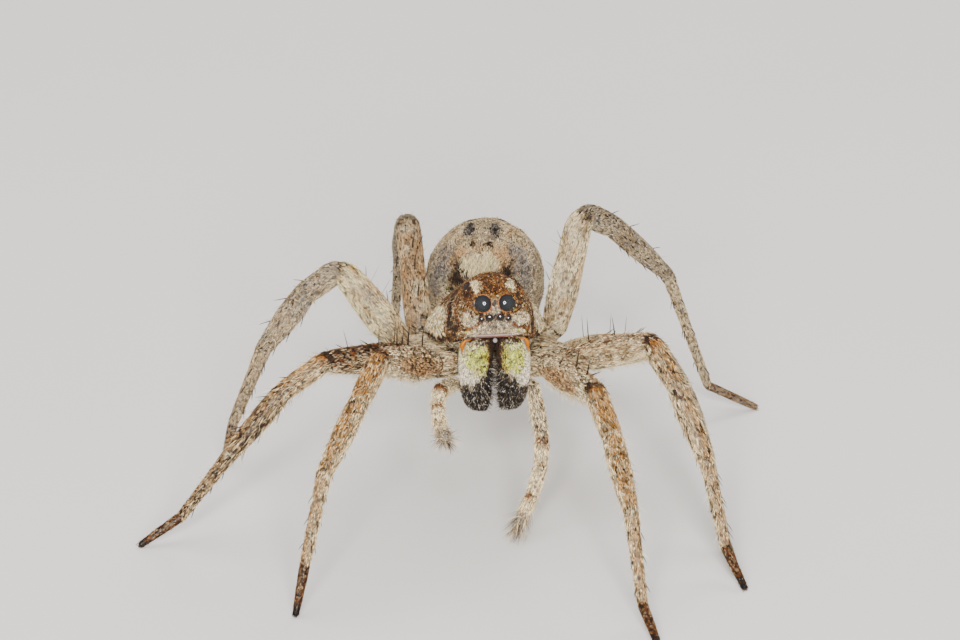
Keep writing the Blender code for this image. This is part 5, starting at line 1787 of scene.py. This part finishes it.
class SPIDER_OT_fangs_and_claws(bpy.types.Operator):
    """Makes the fangs, the two claws of each foot and the small parts between head and jaws"""
    bl_idname = "spider.fangs_and_claws"
    bl_label = "Fangs and claws"

    def execute(self, context):
        horn = horn_material("fang_horn", (0.10, 0.03, 0.012), (0.015, 0.008, 0.006))
        self.make_fangs(horn)
        self.make_claws(horn)
        self.make_face_edge()
        self.make_bosses()
        self.make_knob()
        return {"FINISHED"}

    @staticmethod
    def make_fangs(horn):
        """Each fang curls in and down along part of a circle from the end of its jaw."""
        t, columns = np.linspace(0.0, 1.0, 26), 20
        turn = radians(FANG_TURN) * t
        arm = FANG_LENGTH / radians(FANG_TURN)
        radii = FANG_RADIUS * (1.0 - 0.55 * t) * np.sqrt(1.0 - np.clip(t, 0.0, 0.99) ** 8)
        for side_name, side in SIDES.items():
            root = np.array([side * 1.22, 1.45, JAW_TOP - JAW_LENGTH + 0.75])
            drop = -0.30 - arm * 0.35 * (1 - np.cos(turn))
            centres = root + np.stack([-side * arm * np.sin(turn), 0.0 * t, drop], -1)
            grid = turn_head(horn_points(centres, radii, BACKWARDS, columns))
            shaped_piece("horn_fang_" + side_name, [grid], horn, along_rings(t, columns),
                         ["fang_" + side_name])

    @staticmethod
    def make_claws(horn):
        """Each claw curls down along part of a circle from the end of its foot."""
        t, columns = np.linspace(0.0, 1.0, 12), 8
        out, down = (0.22 * np.sin(1.3 * t))[:, None], (0.18 * (1 - np.cos(1.3 * t)))[:, None]
        grids = []
        for side_name, pair in LEGS_IN_ORDER:
            line = all_surfaces()[leg_name(side_name, pair)][0].line
            way = line.ways[-1]
            flat = unit(np.cross(way, UP))
            rise = np.cross(flat, way)
            for hand in (-1.0, 1.0):
                root = line.points[-1] + 0.05 * rise + 0.07 * hand * flat
                curve = out * (way + 0.10 * hand * flat) - down * rise
                grid = horn_points(root + curve, 0.04 * (1.03 - t), flat, columns)
                keep_above_floor(grid)
                grids.append(grid)
        shades = np.tile(along_rings(t, columns), len(grids))
        shaped_piece("claws", grids, horn, shades)

    @staticmethod
    def make_face_edge():
        """Pale lip and thin red-brown edge of the face over the jaws."""
        t = np.linspace(-1.0, 1.0, 60)
        white = horn_material("face_lip", (0.22, 0.16, 0.13), (0.15, 0.105, 0.085), 0.35)
        red = horn_material("face_edge", (0.10, 0.016, 0.008), (0.05, 0.012, 0.008), 0.3)
        plan = (("face_lip", 11.88, 0.075, white), ("face_edge", 11.76, 0.04, red))
        for name, height, radius, material in plan:
            centres = np.stack([1.85 * t, 0.20 * t ** 8, height + 0.0 * t], axis=-1)
            grid = horn_points(centres, radius * (1.0 - t ** 4 * 0.85), BACKWARDS, 12)
            shaped_piece(name, [turn_head(grid)], material)

    @staticmethod
    def make_bosses():
        """Orange swelling on the outer side of each jaw's root."""
        orange = horn_material("jaw_boss", (0.33, 0.10, 0.001), (0.20, 0.045, 0.001), 0.25)
        t = np.linspace(0.0, 1.0, 30)
        out = np.sin(0.5 * pi * np.clip(2.2 * t, 0.0, 1.0))
        down = np.clip((t - 0.18) / 0.82, 0.0, 1.0)
        ends = np.sqrt(1.0 - np.clip(2.0 * np.abs(t - 0.5), 0.0, 0.99) ** 8)
        radii = (0.045 + 0.10 * bump_at(t, 0.42, 0.20)) * ends
        for side_name, side in SIDES.items():
            aside = side * (1.42 + 0.46 * out + 0.08 * t)
            centres = np.stack([aside, -0.02 + 0.06 * t, 11.62 - 1.05 * down], axis=-1)
            grid = turn_head(horn_points(centres, radii, BACKWARDS, 14))
            shaped_piece("jaw_boss_" + side_name, [grid], orange)

    @staticmethod
    def make_knob():
        """Small pale knob under the middle of the face's edge."""
        pale = horn_material("face_knob", (0.25, 0.23, 0.215), (0.18, 0.165, 0.15), 0.4)
        gaze = unit(np.array([0.0, -1.0, -0.2]))
        knob = dome_points(np.array([0.0, -0.04, 11.56]), gaze, 0.14, 0.15, polar_steps(16), 20)
        shaped_piece("face_knob", [turn_head(knob)], pale)


def camera_axes():
    """The camera's right, up and back, from its heading and its height angle."""
    turn, rise = radians(CAMERA_HEADING), radians(CAMERA_HEIGHT_ANGLE)
    back = np.array([sin(turn) * cos(rise), -cos(turn) * cos(rise), sin(rise)])
    right = np.array([cos(turn), sin(turn), 0.0])
    return right, np.cross(back, right), back


def stance(right, up, back, place):
    """Matrix that puts a lamp or camera at a place, looking away from back."""
    columns = np.column_stack([right, up, back, (place + SHIFT) * MM])
    return Matrix([*columns.tolist(), [0.0, 0.0, 0.0, 1.0]])


class SPIDER_OT_stage(bpy.types.Operator):
    """Makes the floor, the lights and the camera"""
    bl_idname = "spider.stage"
    bl_label = "Stage"

    def execute(self, context):
        self.make_floor()
        self.make_lights()
        self.make_camera()
        return {"FINISHED"}

    @staticmethod
    def make_floor():
        """Flat square floor under the feet, a grid of x and y at height 0."""
        steps = 9
        across = np.linspace(-FLOOR_REACH, FLOOR_REACH, steps)
        x, y = np.meshgrid(across, across)
        points = np.stack([x, y, np.full_like(x, -SHIFT[2])], axis=-1).reshape(-1, 3)
        index = np.arange(steps * steps).reshape(steps, steps)
        quads = np.stack([index[:-1, :-1], index[:-1, 1:], index[1:, 1:], index[1:, :-1]], axis=-1)
        mesh = new_mesh("floor", points, quads.ravel(), np.full(quads.size // 4, 4))
        mesh.materials.append(floor_material())
        floor = bpy.data.objects.new("floor", mesh)
        bpy.context.scene.collection.objects.link(floor)
        floor.visible_glossy = False

    @staticmethod
    def make_lights():
        """Ring of small lamps round the camera's line of sight, a broad one above and one behind."""
        world = bpy.data.worlds.new("room")
        world.use_nodes = True
        room = world.node_tree.nodes["Background"].inputs
        room["Color"].default_value = ROOM_COLOUR
        room["Strength"].default_value = ROOM_LIGHT
        bpy.context.scene.world = world
        right, up, back = camera_axes()
        plan = [(name, np.array(place), size, power) for name, place, size, power in FAR_LAMPS]
        for number in range(LAMP_COUNT):
            turn = 2.0 * pi * number / LAMP_COUNT
            aside = LAMP_RING * (cos(turn) * right + sin(turn) * up)
            place = CAMERA_AIM + back * LAMP_DISTANCE + aside
            plan.append(("lamp_%d" % number, place, LAMP_SIZE, LAMP_POWER / LAMP_COUNT))
        for name, place, size, power in plan:
            data = bpy.data.lights.new(name, "AREA")
            data.shape = "DISK"
            data.size = size
            data.energy = power
            lamp = bpy.data.objects.new(name, data)
            lamp.visible_glossy = name.startswith("lamp")
            back = unit(place - LIGHT_AIM)
            right = unit(np.cross(UP, back))
            lamp.matrix_world = stance(right, np.cross(back, right), back, place)
            bpy.context.scene.collection.objects.link(lamp)

    @staticmethod
    def make_camera():
        """Long lens in front of the animal and above it."""
        data = bpy.data.cameras.new("camera")
        data.lens = CAMERA_LENS
        data.clip_start = 0.01
        data.clip_end = 10.0
        camera = bpy.data.objects.new("camera", data)
        bpy.context.scene.collection.objects.link(camera)
        right, up, back = camera_axes()
        camera.matrix_world = stance(right, up, back, CAMERA_AIM + back * CAMERA_DISTANCE)
        bpy.context.scene.camera = camera


OPERATORS = (SPIDER_OT_skin, SPIDER_OT_body_coat, SPIDER_OT_jaw_coat, SPIDER_OT_limb_coats, SPIDER_OT_spines,
             SPIDER_OT_eyes, SPIDER_OT_fangs_and_claws, SPIDER_OT_stage)


class SPIDER_PT_panel(bpy.types.Panel):
    """Sizes, colours and pieces of the spider"""
    bl_idname = "SPIDER_PT_panel"
    bl_label = "Wolf spider"
    bl_space_type = "VIEW_3D"
    bl_region_type = "UI"
    bl_category = "Spider"

    def draw(self, context):
        """Rows of sizes and colours, then a button for each operator."""
        for group in (context.scene.spider_sizes, context.scene.spider_colours):
            for name in group.__annotations__:
                self.layout.prop(group, name)
        for operator in OPERATORS:
            self.layout.operator(operator.bl_idname)


CLASSES = (SpiderSizes, SpiderColours, *OPERATORS, SPIDER_PT_panel)


def register():
    """Adds the classes and the two groups of settings to Blender."""
    for made in CLASSES:
        bpy.utils.register_class(made)
    bpy.types.Scene.spider_sizes = bpy.props.PointerProperty(type=SpiderSizes)
    bpy.types.Scene.spider_colours = bpy.props.PointerProperty(type=SpiderColours)


def unregister():
    """Takes out what register added, in reverse."""
    del bpy.types.Scene.spider_colours
    del bpy.types.Scene.spider_sizes
    for made in reversed(CLASSES):
        bpy.utils.unregister_class(made)


def main():
    """Makes every piece in turn."""
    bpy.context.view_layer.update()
    register()
    bpy.ops.spider.skin()
    bpy.ops.spider.body_coat()
    bpy.ops.spider.jaw_coat()
    bpy.ops.spider.limb_coats()
    bpy.ops.spider.spines()
    bpy.ops.spider.eyes()
    bpy.ops.spider.fangs_and_claws()
    bpy.ops.spider.stage()


if __name__ == "__main__":
    main()
